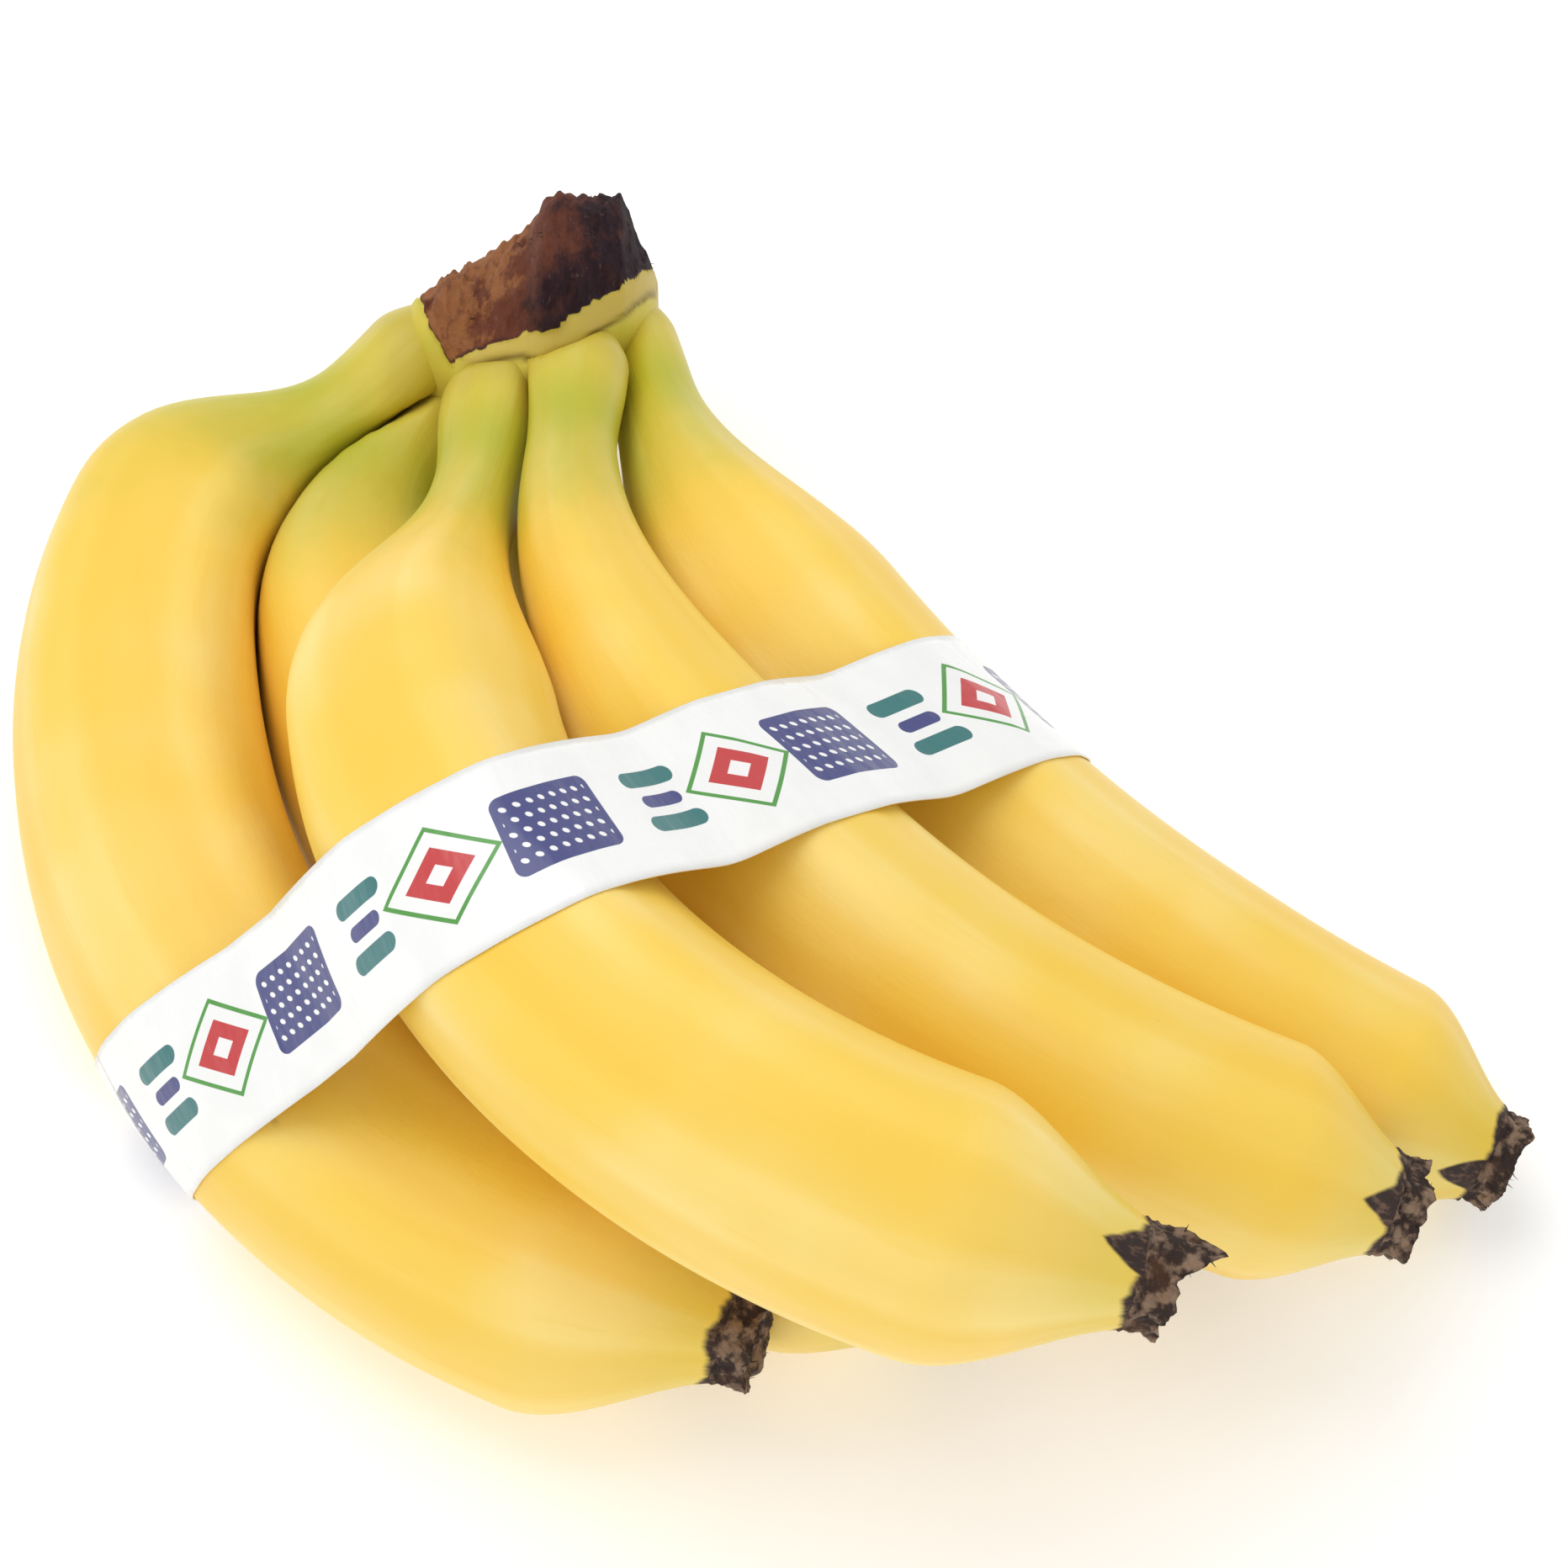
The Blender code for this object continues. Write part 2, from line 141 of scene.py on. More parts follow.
# Fruits: radius at the root and at the dried end, then places along the length, as shares of
# it: the shoulder, the bends of neck and body, the nudge, where the end has narrowed and
# where the peel stops. RIDGE_TURN is the angle of the first of the five edges.
ROOT_RADIUS = 5.0
TIP_RADIUS = 6.9
SHOULDER = (0.04, 0.14)
NECK_BEND = (0.04, 0.34)
BODY_BEND_IN = (0.12, 0.30)
BODY_BEND_OUT = (0.80, 1.0)
NUDGE_SPAN = (0.0, 0.2)
NARROWED = 0.992
PEEL_END = 0.974
RIDGE_TURN = math.radians(36)
STEPS = 160

# Brown of the dried ends: half the angle over which it runs back in a tongue (radians), where
# its torn rim starts along the length, and the rows of its skin that carry fibres.
TONGUE_HALF = 0.36
RIM_START = 0.9745
FRAYED_ROWS = (17, 26)

# Fibres on the crown, per square metre.
CROWN_FIBRES = 4e4

# Pressing neighbours together: the gap that is kept, how softly the skin gives way, how far
# out a limit is looked for, the room from which a place counts as free, and how many rings
# and sides are skipped in the search.
PRESS_GAP = 0.35
PRESS_SOFT = 1.2
PRESS_REACH = 8.0
PRESS_FREE = 7.5
COARSE_RINGS = 3
COARSE_SIDES = 2

# Band: the direction across its width, its place along it, how far the fruits are raised
# above the floor where it passes under them, its rows and points, and its print.
BAND_NORMAL = np.array([0.456, -0.827, -0.329])
BAND_OFFSET = -6.7
BAND_LIFT = 0.75
BAND_ROWS = 17
BAND_POINTS = 420
PRINT_REPEAT = 52.0
PRINT_MIDDLE = 12.7

# Camera, and the picture's upward direction and the one into the picture, in the layout.
CAMERA_TARGET = (0.0, 0.0, 34.0)
CAMERA_DISTANCE = 650.0
CAMERA_SLANT = math.radians(55.0)
VIEW_UP = np.array([0.0, math.sin(CAMERA_SLANT), math.cos(CAMERA_SLANT)])
VIEW_AWAY = np.array([0.0, math.cos(CAMERA_SLANT), -math.sin(CAMERA_SLANT)])

# Lamps, in the layout, and half the width of the floor in metres.
OVERHEAD_LAMP = (-250, 250, 900)
FRONT_LAMP = (-200, -700, 500)
LAMP_AIM = (0, 0, 30)
FLOOR_HALF = 4.0


def srgb(red, green, blue):
    """A screen colour, 0 to 255, as linear light."""
    parts = [value / 255 for value in (red, green, blue)]
    return tuple(part / 12.92 if part <= 0.04045 else ((part + 0.055) / 1.055) ** 2.4
                 for part in parts)


# Colours of details, which the user doesn't change.
TORN_DARK = srgb(52, 37, 32)
TORN_LIGHT = srgb(120, 92, 74)
END_BROWN = srgb(104, 66, 34)
BARK_STREAK = srgb(150, 104, 84)
SKIN_OLIVE = srgb(196, 188, 62)
# Painted shade in the crease under the crown's lip.
CREASE_SHADE_BROWN = srgb(104, 78, 40)
PAPER_SHADE = srgb(238, 239, 236)
WHITE = (1.0, 1.0, 1.0, 1.0)
FLOOR_TINTS = (srgb(250, 250, 250), srgb(247, 247, 247))


def tint(name, text, colour):
    """A colour that the user may change."""
    return FloatVectorProperty(name=name, description=text, subtype="COLOR", size=3,
                               min=0.0, max=1.0, default=srgb(*colour))


def length_field(name, text, default, highest, lowest=0.0):
    """A length that the user may change."""
    return FloatProperty(name=name, description=text, default=default, min=lowest,
                         max=highest, subtype="DISTANCE", unit="LENGTH")


def share_field(name, text, default, highest):
    """A share of something that the user may change."""
    return FloatProperty(name=name, description=text, default=default, min=0.0,
                         max=highest, subtype="FACTOR")


def number_field(name, text, default, highest, lowest=0.0):
    """A plain number that the user may change."""
    return FloatProperty(name=name, description=text, default=default, min=lowest,
                         max=highest)


def count_field(name, text, default, lowest, highest):
    """A whole number that the user may change."""
    return IntProperty(name=name, description=text, default=default, min=lowest,
                       max=highest)


class PeelSettings(bpy.types.PropertyGroup):
    """Sizes and colours of the fruits."""
    rings: count_field("Rings", "Rings along each fruit", 150, 60, 400)
    sides: count_field("Sides", "Points round each fruit", 72, 24, 160)
    ridge: share_field("Ridge", "Height of the five ridges, as a share of the radius", 0.034, 0.1)
    ripe: tint("Ripe", "Yellow of the peel", (252, 212, 88))
    pale: tint("Pale", "Lighter patches of the peel", (253, 223, 128))
    # Deep gives the golden streaks and also painted shade between the ridges.
    deep: tint("Deep", "Golden yellow between the ridges", (246, 201, 60))
    unripe: tint("Unripe", "Green of the necks", (174, 180, 34))
    scar: tint("Scar", "Brown of specks and scratches", (96, 62, 38))


class EndSettings(bpy.types.PropertyGroup):
    """Sizes and colours of the dried blossom ends."""
    sides: count_field("Sides", "Points round each end", 96, 24, 200)
    roughness: length_field("Roughness", "Height of the shrivelled relief", 0.00055, 0.002)
    fibre: length_field("Fibre", "Length of the dried fibres", 0.0016, 0.01)
    fibres: count_field("Fibres", "Fibres per square centimetre", 7, 0, 100)
    dark: tint("Dark", "Darkest brown", (52, 37, 32))
    grey: tint("Grey", "Weathered grey brown", (150, 122, 98))


class CrownSettings(bpy.types.PropertyGroup):
    """Sizes and colours of the crown."""
    bark: length_field("Bark", "Height of the bark's streaks", 0.0007, 0.003)
    fibre: length_field("Fibre", "Length of the torn fibres", 0.0013, 0.01)
    rust: tint("Rust", "Orange brown of the cut face", (158, 102, 62))
    bark_brown: tint("Bark brown", "Middle brown", (110, 60, 42))
    black: tint("Black", "Blackened part", (42, 24, 32))
    skin: tint("Skin", "Yellow green skin where the necks join", (212, 194, 76))
    collar: tint("Collar", "Olive lip at the lower edge", (196, 170, 84))


class BandSettings(bpy.types.PropertyGroup):
    """Sizes and colours of the paper band."""
    width: length_field("Width", "Width of the band", 0.0254, 0.04, 0.01)
    thickness: length_field("Thickness", "Thickness of the band", 0.0003, 0.001, 0.0001)
    clearance: length_field("Clearance", "Gap between band and peel", 0.00015, 0.001)
    sag: share_field("Sag", "How far the band sinks between the fruits, as a share of its "
                     "distance to them", 0.3, 0.5)
    paper: tint("Paper", "White of the band", (250, 250, 248))
    navy: tint("Navy", "Dark blue of the print", (46, 52, 122))
    teal: tint("Teal", "Blue green of the print", (22, 112, 112))
    red: tint("Red", "Red of the print", (200, 38, 42))
    green: tint("Green", "Green of the print", (70, 152, 52))


class StageSettings(bpy.types.PropertyGroup):
    """Camera and light."""
    lens: number_field("Lens", "Focal length in millimetres on a 36 mm wide sensor", 100.43,
                       300.0, 20.0)
    key: number_field("Key light", "Watts of the large lamp overhead", 3.0, 200.0)
    fill: number_field("Fill light", "Watts of the lamp in front", 0.7, 200.0)
    glow: number_field("Floor glow", "Light that the white floor gives off", 0.24, 1.0)
    sky: number_field("Sky", "Strength of the white surroundings", 0.73, 5.0)


class BunchSettings(bpy.types.PropertyGroup):
    """All that a user would change on the bunch."""
    peel: PointerProperty(type=PeelSettings)
    ends: PointerProperty(type=EndSettings)
    crown: PointerProperty(type=CrownSettings)
    band: PointerProperty(type=BandSettings)
    stage: PointerProperty(type=StageSettings)


# ---------------------------------------------------------------- sums and node trees


def smooth(value, low, high):
    """Ease from 0 at low to 1 at high."""
    part = np.clip((np.asarray(value, float) - low) / (high - low), 0.0, 1.0)
    return part * part * (3.0 - 2.0 * part)


def bump(value, low, high):
    """A rounded hump between low and high."""
    middle = (low + high) / 2
    part = np.clip((np.asarray(value, float) - middle) / ((high - low) / 2), -1.0, 1.0)
    return (1.0 + np.cos(math.pi * part)) / 2


def unit(vector):
    """A vector brought to length 1."""
    return vector / np.linalg.norm(vector)


def angles(count):
    """Equal steps round a circle."""
    return np.arange(count) * math.tau / count


def angle_off(angle, degrees):
    """How far angles lie from one given in degrees."""
    return np.abs((angle - math.radians(degrees) + math.pi) % math.tau - math.pi)


def eased(values):
    """Each value of closed rows averaged with its two neighbours."""
    return (values + np.roll(values, 1, axis=1) + np.roll(values, -1, axis=1)) / 3


def grain(points, scale, seed=0.0, octaves=3):
    """Even noise from about -1 to 1 at each point; scale is in millimetres."""
    flat = np.asarray(points, float).reshape(-1, 3) / scale + seed
    values = [noise.fractal(Vector(spot), 1.0, 2.0, octaves) for spot in flat]
    return np.array(values).reshape(np.asarray(points).shape[:-1])


class Value:
    """A socket that can be used in sums."""

    def __init__(self, kit, socket):
        self.kit = kit
        self.socket = socket

    def __add__(self, other):
        return self.kit.sum("ADD", self, other)

    __radd__ = __add__

    def __sub__(self, other):
        return self.kit.sum("SUBTRACT", self, other)

    def __rsub__(self, other):
        return self.kit.sum("SUBTRACT", other, self)

    def __mul__(self, other):
        return self.kit.sum("MULTIPLY", self, other)

    __rmul__ = __mul__

    def __truediv__(self, other):
        return self.kit.sum("DIVIDE", self, other)

    def __rtruediv__(self, other):
        return self.kit.sum("DIVIDE", other, self)


class NodeKit:
    """Adds nodes to one tree and joins them."""

    def __init__(self, tree):
        self.tree = tree

    def node(self, kind, settings=None, sockets=None):
        """One node: its settings first, then the values or links of its sockets."""
        item = self.tree.nodes.new(kind)
        for name, value in (settings or {}).items():
            setattr(item, name, value)
        for key, value in (sockets or {}).items():
            if isinstance(value, Value):
                self.tree.links.new(value.socket, item.inputs[key])
            else:
                item.inputs[key].default_value = value
        return item

    def value(self, kind, settings=None, sockets=None, output=0):
        """One output of a new node, ready for sums."""
        return Value(self, self.node(kind, settings, sockets).outputs[output])

    def sum(self, operation, *parts):
        return self.value("ShaderNodeMath", {"operation": operation},
                          dict(enumerate(parts)))

    def vector(self, operation, *parts, scale=None):
        sockets = dict(enumerate(parts))
        if scale is not None:
            sockets["Scale"] = scale
        return self.value("ShaderNodeVectorMath", {"operation": operation}, sockets)

    def smooth(self, value, low, high):
        """Ease from 0 at low to 1 at high."""
        return self.value("ShaderNodeMapRange", {"interpolation_type": "SMOOTHSTEP"},
                          {0: value, 1: low, 2: high, 3: 0.0, 4: 1.0})

    def mix(self, factor, first, second):
        """A colour between two, each one a triple or a socket."""
        first, second = (part if isinstance(part, Value) else (*part, 1.0)
                         for part in (first, second))
        return self.value("ShaderNodeMix", {"data_type": "RGBA"},
                          {0: factor, 6: first, 7: second}, 2)

    def attribute(self, name, output="Fac"):
        item = self.node("ShaderNodeAttribute", {"attribute_name": name})
        return Value(self, item.outputs[output])

    def kept(self, name, kind="FLOAT"):
        """What a mesh keeps on its points, read in a shape tree."""
        return self.value("GeometryNodeInputNamedAttribute", {"data_type": kind},
                          {"Name": name})

    def keep(self, geometry, name, value, kind="FLOAT"):
        """Keeps a value on the points in a shape tree."""
        return self.value("GeometryNodeStoreNamedAttribute", {"data_type": kind},
                          {0: geometry, "Name": name, "Value": value})

    def split(self, vector):
        item = self.node("ShaderNodeSeparateXYZ", None, {0: vector})
        return [Value(self, socket) for socket in item.outputs]

    def noise(self, vector, scale, detail=3.0, roughness=0.5, distortion=0.0):
        return self.value("ShaderNodeTexNoise", None,
                          {"Vector": vector, "Scale": scale, "Detail": detail,
                           "Roughness": roughness, "Distortion": distortion})


def new_material(name, looks):
    """A Principled material with its node kit and shader; looks are its plain values."""
    material = bpy.data.materials.new(name)
    material.use_nodes = True
    kit = NodeKit(material.node_tree)
    shader = material.node_tree.nodes["Principled BSDF"]
    for key, value in looks.items():
        shader.inputs[key].default_value = value
    return material, kit, shader


def feed(kit, shader, **links):
    """Links the varying values of a shader: colour, roughness, normal."""
    names = {"colour": "Base Color", "roughness": "Roughness", "normal": "Normal"}
    for name, value in links.items():
        kit.tree.links.new(value.socket, shader.inputs[names[name]])


def relief(kit, height, distance, strength=1.0, under=None):
    """A Bump node; distance is in metres."""
    sockets = {"Height": height, "Distance": distance, "Strength": strength}
    if under is not None:
        sockets["Normal"] = under
    return kit.value("ShaderNodeBump", None, sockets)


def shape_tree(name, inputs):
    """An empty Geometry Nodes tree with named inputs."""
    tree = bpy.data.node_groups.new(name, "GeometryNodeTree")
    tree.interface.new_socket("Geometry", in_out="INPUT", socket_type="NodeSocketGeometry")
    for label, kind in inputs:
        tree.interface.new_socket(label, in_out="INPUT", socket_type="NodeSocket" + kind)
    tree.interface.new_socket("Geometry", in_out="OUTPUT", socket_type="NodeSocketGeometry")
    kit = NodeKit(tree)
    source = kit.node("NodeGroupInput")
    given = {socket.name: Value(kit, socket) for socket in source.outputs if socket.name}
    return tree, kit, given


def end_tree(kit, geometry, material):
    """The last nodes of every tree: real geometry with its material."""
    real = kit.value("GeometryNodeRealizeInstances", None, {0: geometry})
    done = kit.value("GeometryNodeSetMaterial", None, {0: real, "Material": material})
    kit.node("NodeGroupOutput", None, {0: done})


def add_object(name, data):
    """A new object in the scene."""
    item = bpy.data.objects.new(name, data)
    bpy.context.scene.collection.objects.link(item)
    return item


def bare_mesh(name, points, faces, edges=()):
    """A mesh as it is given, in metres."""
    mesh = bpy.data.meshes.new(name)
    mesh.from_pydata(points, edges, faces)
    return mesh


def grown_mesh(name, base, tree, values):
    """The plain mesh that a tree makes on a base mesh."""
    holder = add_object(name, base)
    modifier = holder.modifiers.new("shape", "NODES")
    modifier.node_group = tree
    for item in tree.interface.items_tree:
        if item.in_out == "INPUT" and item.name in values:
            modifier[item.identifier] = values[item.name]
    bpy.context.view_layer.update()
    graph = bpy.context.evaluated_depsgraph_get()
    mesh = bpy.data.meshes.new_from_object(holder.evaluated_get(graph),
                                           preserve_all_data_layers=True, depsgraph=graph)
    holder.modifiers.remove(modifier)
    bpy.data.objects.remove(holder)
    mesh.name = name
    return mesh


def add_piece(name, mesh, replaces=None):
    """A finished piece: its object sits at the origin and rides on the bunch."""
    piece = add_object(name, mesh)
    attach(piece, BODY)
    if replaces:
        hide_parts(replaces)


def volume(points, faces):
    """Signed volume, positive when the faces look out."""
    points = np.asarray(points, float)
    middle = points.mean(axis=0)
    total = 0.0
    for face in faces:
        a = points[face[0]] - middle
        for index in range(1, len(face) - 1):
            total += np.dot(a, np.cross(points[face[index]] - middle,
                                        points[face[index + 1]] - middle))
    return total / 6


def plain_mesh(name, points, faces, material):
    """A smooth mesh from points in millimetres, its faces turned outwards."""
    if volume(points, faces) < 0:
        faces = [tuple(reversed(face)) for face in faces]
    mesh = bare_mesh(name, (np.asarray(points) * MM).tolist(), faces)
    mesh.materials.append(material)
    mesh.shade_smooth()
    return mesh


def quads(low, high, count):
    """Faces between two closed rings that start at the points low and high."""
    return [(low + corner, low + (corner + 1) % count, high + (corner + 1) % count,
             high + corner) for corner in range(count)]


def closed_rows(rows, first, last):
    """A closed skin from rings of equal count with a point at each end."""
    count = len(rows[0])
    points = np.vstack([*rows, first, last])
    faces = []
    for index in range(len(rows) - 1):
        faces += quads(index * count, (index + 1) * count, count)
    end = (len(rows) - 1) * count
    for corner in range(count):
        following = (corner + 1) % count
        faces.append((len(points) - 2, following, corner))
        faces.append((len(points) - 1, end + corner, end + following))
    return points, faces


def store(mesh, name, values):
    """Numbers or vectors kept on the points of a mesh."""
    values = np.asarray(values, np.float32)
    kind, key = ("FLOAT_VECTOR", "vector") if values.ndim == 2 else ("FLOAT", "value")
    layer = mesh.attributes.new(name, kind, "POINT")
    layer.data.foreach_set(key, values.ravel())


def spots_of(mesh):
    """The points of a mesh, in metres."""
    spots = np.zeros(len(mesh.vertices) * 3, np.float32)
    mesh.vertices.foreach_get("co", spots)
    return spots.reshape(-1, 3)


def read(mesh, name, width=1):
    """Numbers or vectors kept on the points of a mesh."""
    values = np.zeros(len(mesh.vertices) * width, np.float32)
    layer = mesh.attributes[name]
    layer.data.foreach_get("vector" if width == 3 else "value", values)
    return values.reshape(-1, 3).astype(float) if width == 3 else values.astype(float)


# ---------------------------------------------------------------- layout of the bunch


def part_axes():
    """The part's X, Y and Z directions in the layout."""
    up = unit(np.array(LEVEL))
    ahead = np.array([math.cos(math.radians(TURN)), -math.sin(math.radians(TURN)), 0.0])
    ahead = unit(ahead - up * np.dot(ahead, up))
    return np.array([ahead, np.cross(up, ahead), up])


AXES = part_axes()
ORIGIN = np.array([SHIFT[0], SHIFT[1], -FLOOR])


def to_part(points):
    """Layout points in the part's frame."""
    return np.asarray(points, float) @ AXES.T + ORIGIN


def rotate(vector, axis, angle):
    """Turn a vector about a unit axis."""
    return (vector * math.cos(angle) + np.cross(axis, vector) * math.sin(angle)
            + axis * np.dot(axis, vector) * (1 - math.cos(angle)))


def centreline(fruit):
    """Axis of a fruit in the part's frame: points, headings, inward bends and sides."""
    middle = (np.arange(STEPS) + 0.5) / STEPS
    neck_share = bump(middle, *NECK_BEND)
    neck_share /= neck_share.sum()
    body_share = smooth(middle, *BODY_BEND_IN) * (1 - smooth(middle, *BODY_BEND_OUT))
    body_share /= body_share.sum()
    azimuth = math.radians(fruit["azimuth"])
    elevation = math.radians(fruit["elevation"])
    roll = math.radians(fruit["roll"])
    heading = np.array([math.cos(elevation) * math.cos(azimuth),
                        math.cos(elevation) * math.sin(azimuth), math.sin(elevation)])
    down = np.array([0.0, 0.0, -1.0])
    down = unit(down - heading * np.dot(down, heading))
    inward = math.cos(roll) * down + math.sin(roll) * np.cross(heading, down)
    side = np.cross(heading, inward)
    point = np.array(fruit["root"], float)
    step = fruit["length"] / STEPS
    rows = [(point, heading, np.cross(side, heading), side)]
    for index in range(STEPS):
        turn = math.radians(fruit["neck"] * neck_share[index] + fruit["body"] * body_share[index])
        lean = math.radians(fruit["lean"] * body_share[index])
        heading = rotate(heading, side, turn / 2)
        point = point + heading * step
        heading = rotate(heading, side, turn / 2)
        tipped = heading * math.cos(lean) + side * math.sin(lean)
        side = side * math.cos(lean) - heading * math.sin(lean)
        heading = tipped
        rows.append((point, heading, np.cross(side, heading), side))
    points, *directions = [np.array(column) for column in zip(*rows)]
    moved = bump(np.arange(STEPS + 1) / STEPS, *NUDGE_SPAN)
    points = points + moved[:, None] * np.array(fruit.get("nudge", (0.0, 0.0, 0.0)))
    return [to_part(points)] + [column @ AXES.T for column in directions]


LINES = {name: centreline(fruit) for name, fruit in FRUITS.items()}


def at(lines, t):
    """Point, heading and section directions of a centreline at t."""
    place = np.clip(np.asarray(t, float), 0, 1) * STEPS
    low = np.minimum(place.astype(int), STEPS - 1)
    part = (place - low)[..., None]
    return [column[low] * (1 - part) + column[low + 1] * part for column in lines]


def round_radius(t, fruit):
    """Radius of a fruit along its length, without ridges."""
    full = fruit["stalk"] + (fruit["radius"] - fruit["stalk"]) * smooth(t, *fruit["flare"])
    full = full + fruit["shoulder"] * (1 - smooth(t, *SHOULDER))
    end = smooth(t, fruit["end"], NARROWED)
    return full * (1 - end) + TIP_RADIUS * end


def reach(points, name):
    """How far each point lies outside the round body of a fruit."""
    axis = LINES[name][0]
    radius = round_radius(np.arange(STEPS + 1) / STEPS, FRUITS[name])
    flat = points.reshape(-1, 3)
    gap = np.linalg.norm(flat[:, None, :] - axis[None, :, :], axis=2) - radius[None, :]
    return gap.min(axis=1).reshape(points.shape[:-1])


def pressed_limits(name, centre, ray, wanted):
    """How far each ray may go before it meets a neighbour."""
    low = np.zeros_like(wanted)
    high = wanted + PRESS_REACH
    others = [other for other in FRUITS if other != name]
    for _ in range(13):
        middle = (low + high) / 2
        place = centre + middle[..., None] * ray
        near = np.min([reach(place, other) for other in others], axis=0)
        clear = near - reach(place, name) >= PRESS_GAP
        low = np.where(clear, middle, low)
        high = np.where(clear, high, middle)
    return low


def spread(values, rings, sides, shape):
    """Values of a coarse grid of rings and sides, eased onto the fine grid."""
    fine_rings = np.arange(shape[0])
    fine_sides = np.arange(shape[1])
    closed = np.hstack([values, values[:, :1]])
    corners = np.append(sides, shape[1])
    across = np.array([np.interp(fine_sides, corners, row) for row in closed])
    return np.array([np.interp(fine_rings, rings, column) for column in across.T]).T


def layout_of(points):
    """Part points back in the layout."""
    return (np.asarray(points) - ORIGIN) @ AXES


def lifted(points):
    """Points raised to the floor, a little more where the band passes under them."""
    along = layout_of(points) @ BAND_NORMAL - BAND_OFFSET
    under = 1 - smooth(np.abs(along), 14.0, 24.0)
    raised = points.copy()
    raised[..., 2] = np.maximum(points[..., 2], BAND_LIFT * under)
    return raised


def picture_height(layout):
    """How high layout points stand in the picture, in millimetres from its middle."""
    return layout[..., 1] * VIEW_UP[1] + (layout[..., 2] - CAMERA_TARGET[2]) * VIEW_UP[2]


def tucked(points, places):
    """Points of the necks that would stand in front of the crown's lip, moved behind it."""
    layout = layout_of(points)
    x = layout[..., 0]
    over = np.clip(picture_height(layout) - np.interp(x, *zip(*LIP_LINE)) + 0.5, 0.0, 4.0)
    near = (1 - smooth(places, 0.12, 0.18))[:, None] * smooth(x, -52, -49)
    y, z = crown_section(x)[:2]
    in_front = (y - layout[..., 1]) * VIEW_UP[2] + (layout[..., 2] - z) * VIEW_UP[1]
    push = np.minimum(5.0 * over * near, np.maximum(in_front, 0.0))
    return to_part(layout + push[..., None] * VIEW_AWAY)


# ---------------------------------------------------------------- fruits


def ring_places(count):
    """Rings along a fruit, closer together at the neck and near the dried end."""
    rough = np.linspace(0.0, 1.0, 2000)
    density = 1.0 + 1.2 * (1 - smooth(rough, 0.05, 0.25)) + 3.0 * smooth(rough, 0.85, 0.95)
    share = np.cumsum(density) - density[0]
    return np.interp(np.linspace(0, share[-1], count), share, rough) * PEEL_END


def fruit_tree():
    """A tube swept along the fruit's axis, with its ridges and its narrow neck and end."""
    tree, kit, given = shape_tree("fruit_body", [
        ("Sides", "Int"), ("Girth", "Float"), ("Neck", "Float"), ("Root", "Float"),
        ("End", "Float"), ("Ridge", "Float"), ("Length", "Float"),
        ("Flare start", "Float"), ("Flare end", "Float"), ("End start", "Float"),
        ("Shoulder", "Float"), ("Material", "Material")])
    line = kit.value("GeometryNodeMeshToCurve", None, {0: given["Geometry"]})
    circle = kit.value("GeometryNodeCurvePrimitiveCircle", {"mode": "RADIUS"},
                       {"Resolution": given["Sides"], "Radius": given["Girth"]})
    corner = kit.value("GeometryNodeInputIndex")
    circle = kit.keep(circle, "turn", corner / given["Sides"] * math.tau)
    tube = kit.value("GeometryNodeCurveToMesh", None,
                     {"Curve": line, "Profile Curve": circle, "Fill Caps": True})
    along = kit.kept("along")
    turn = kit.kept("turn")
    full = given["Neck"] + (given["Girth"] - given["Neck"]) * kit.smooth(
        along, given["Flare start"], given["Flare end"])
    full = full + given["Shoulder"] * (1 - kit.smooth(along, *SHOULDER))
    end = kit.smooth(along, given["End start"], NARROWED)
    size = full * (1 - end) + given["End"] * end
    crest = (turn - RIDGE_TURN) * 5
    crest = (kit.sum("COSINE", crest) + kit.sum("COSINE", crest * 2) * 0.28)
    depth = kit.smooth(along, 0.05, 0.25) * (1 - 0.4 * kit.smooth(along, 0.8, 0.95))
    root = 1 - (1 - given["Root"] / given["Neck"]) * (1 - kit.smooth(along, 0.0, 0.05))
    size = size * (1 + given["Ridge"] * crest * depth) * root
    cosine = kit.sum("COSINE", turn)
    sine = kit.sum("SINE", turn)
    inward, side, centre = [kit.kept(name, "FLOAT_VECTOR")
                            for name in ("inward", "side", "centre")]
    ray = kit.vector("ADD", kit.vector("SCALE", inward, scale=cosine),
                     kit.vector("SCALE", side, scale=sine))
    place = kit.vector("ADD", centre, kit.vector("SCALE", ray, scale=size))
    tube = kit.value("GeometryNodeSetPosition", None, {0: tube, "Position": place})
    skin = kit.value("ShaderNodeCombineXYZ", None,
                     {0: cosine * given["Girth"], 1: sine * given["Girth"],
                      2: along * given["Length"]})
    tube = kit.keep(tube, "ridge", crest)
    tube = kit.keep(tube, "skin", skin, "FLOAT_VECTOR")
    end_tree(kit, kit.value("GeometryNodeSetShadeSmooth", None, {0: tube}), given["Material"])
    return tree


def axis_mesh(name, places):
    """The axis of a fruit as a line of points that carry its directions."""
    centre, _, inward, side = at(LINES[name], places)
    mesh = bare_mesh(name + "_axis", (centre * MM).tolist(), [],
                     [(index, index + 1) for index in range(len(places) - 1)])
    store(mesh, "along", places)
    store(mesh, "centre", centre * MM)
    store(mesh, "inward", inward)
    store(mesh, "side", side)
    return mesh


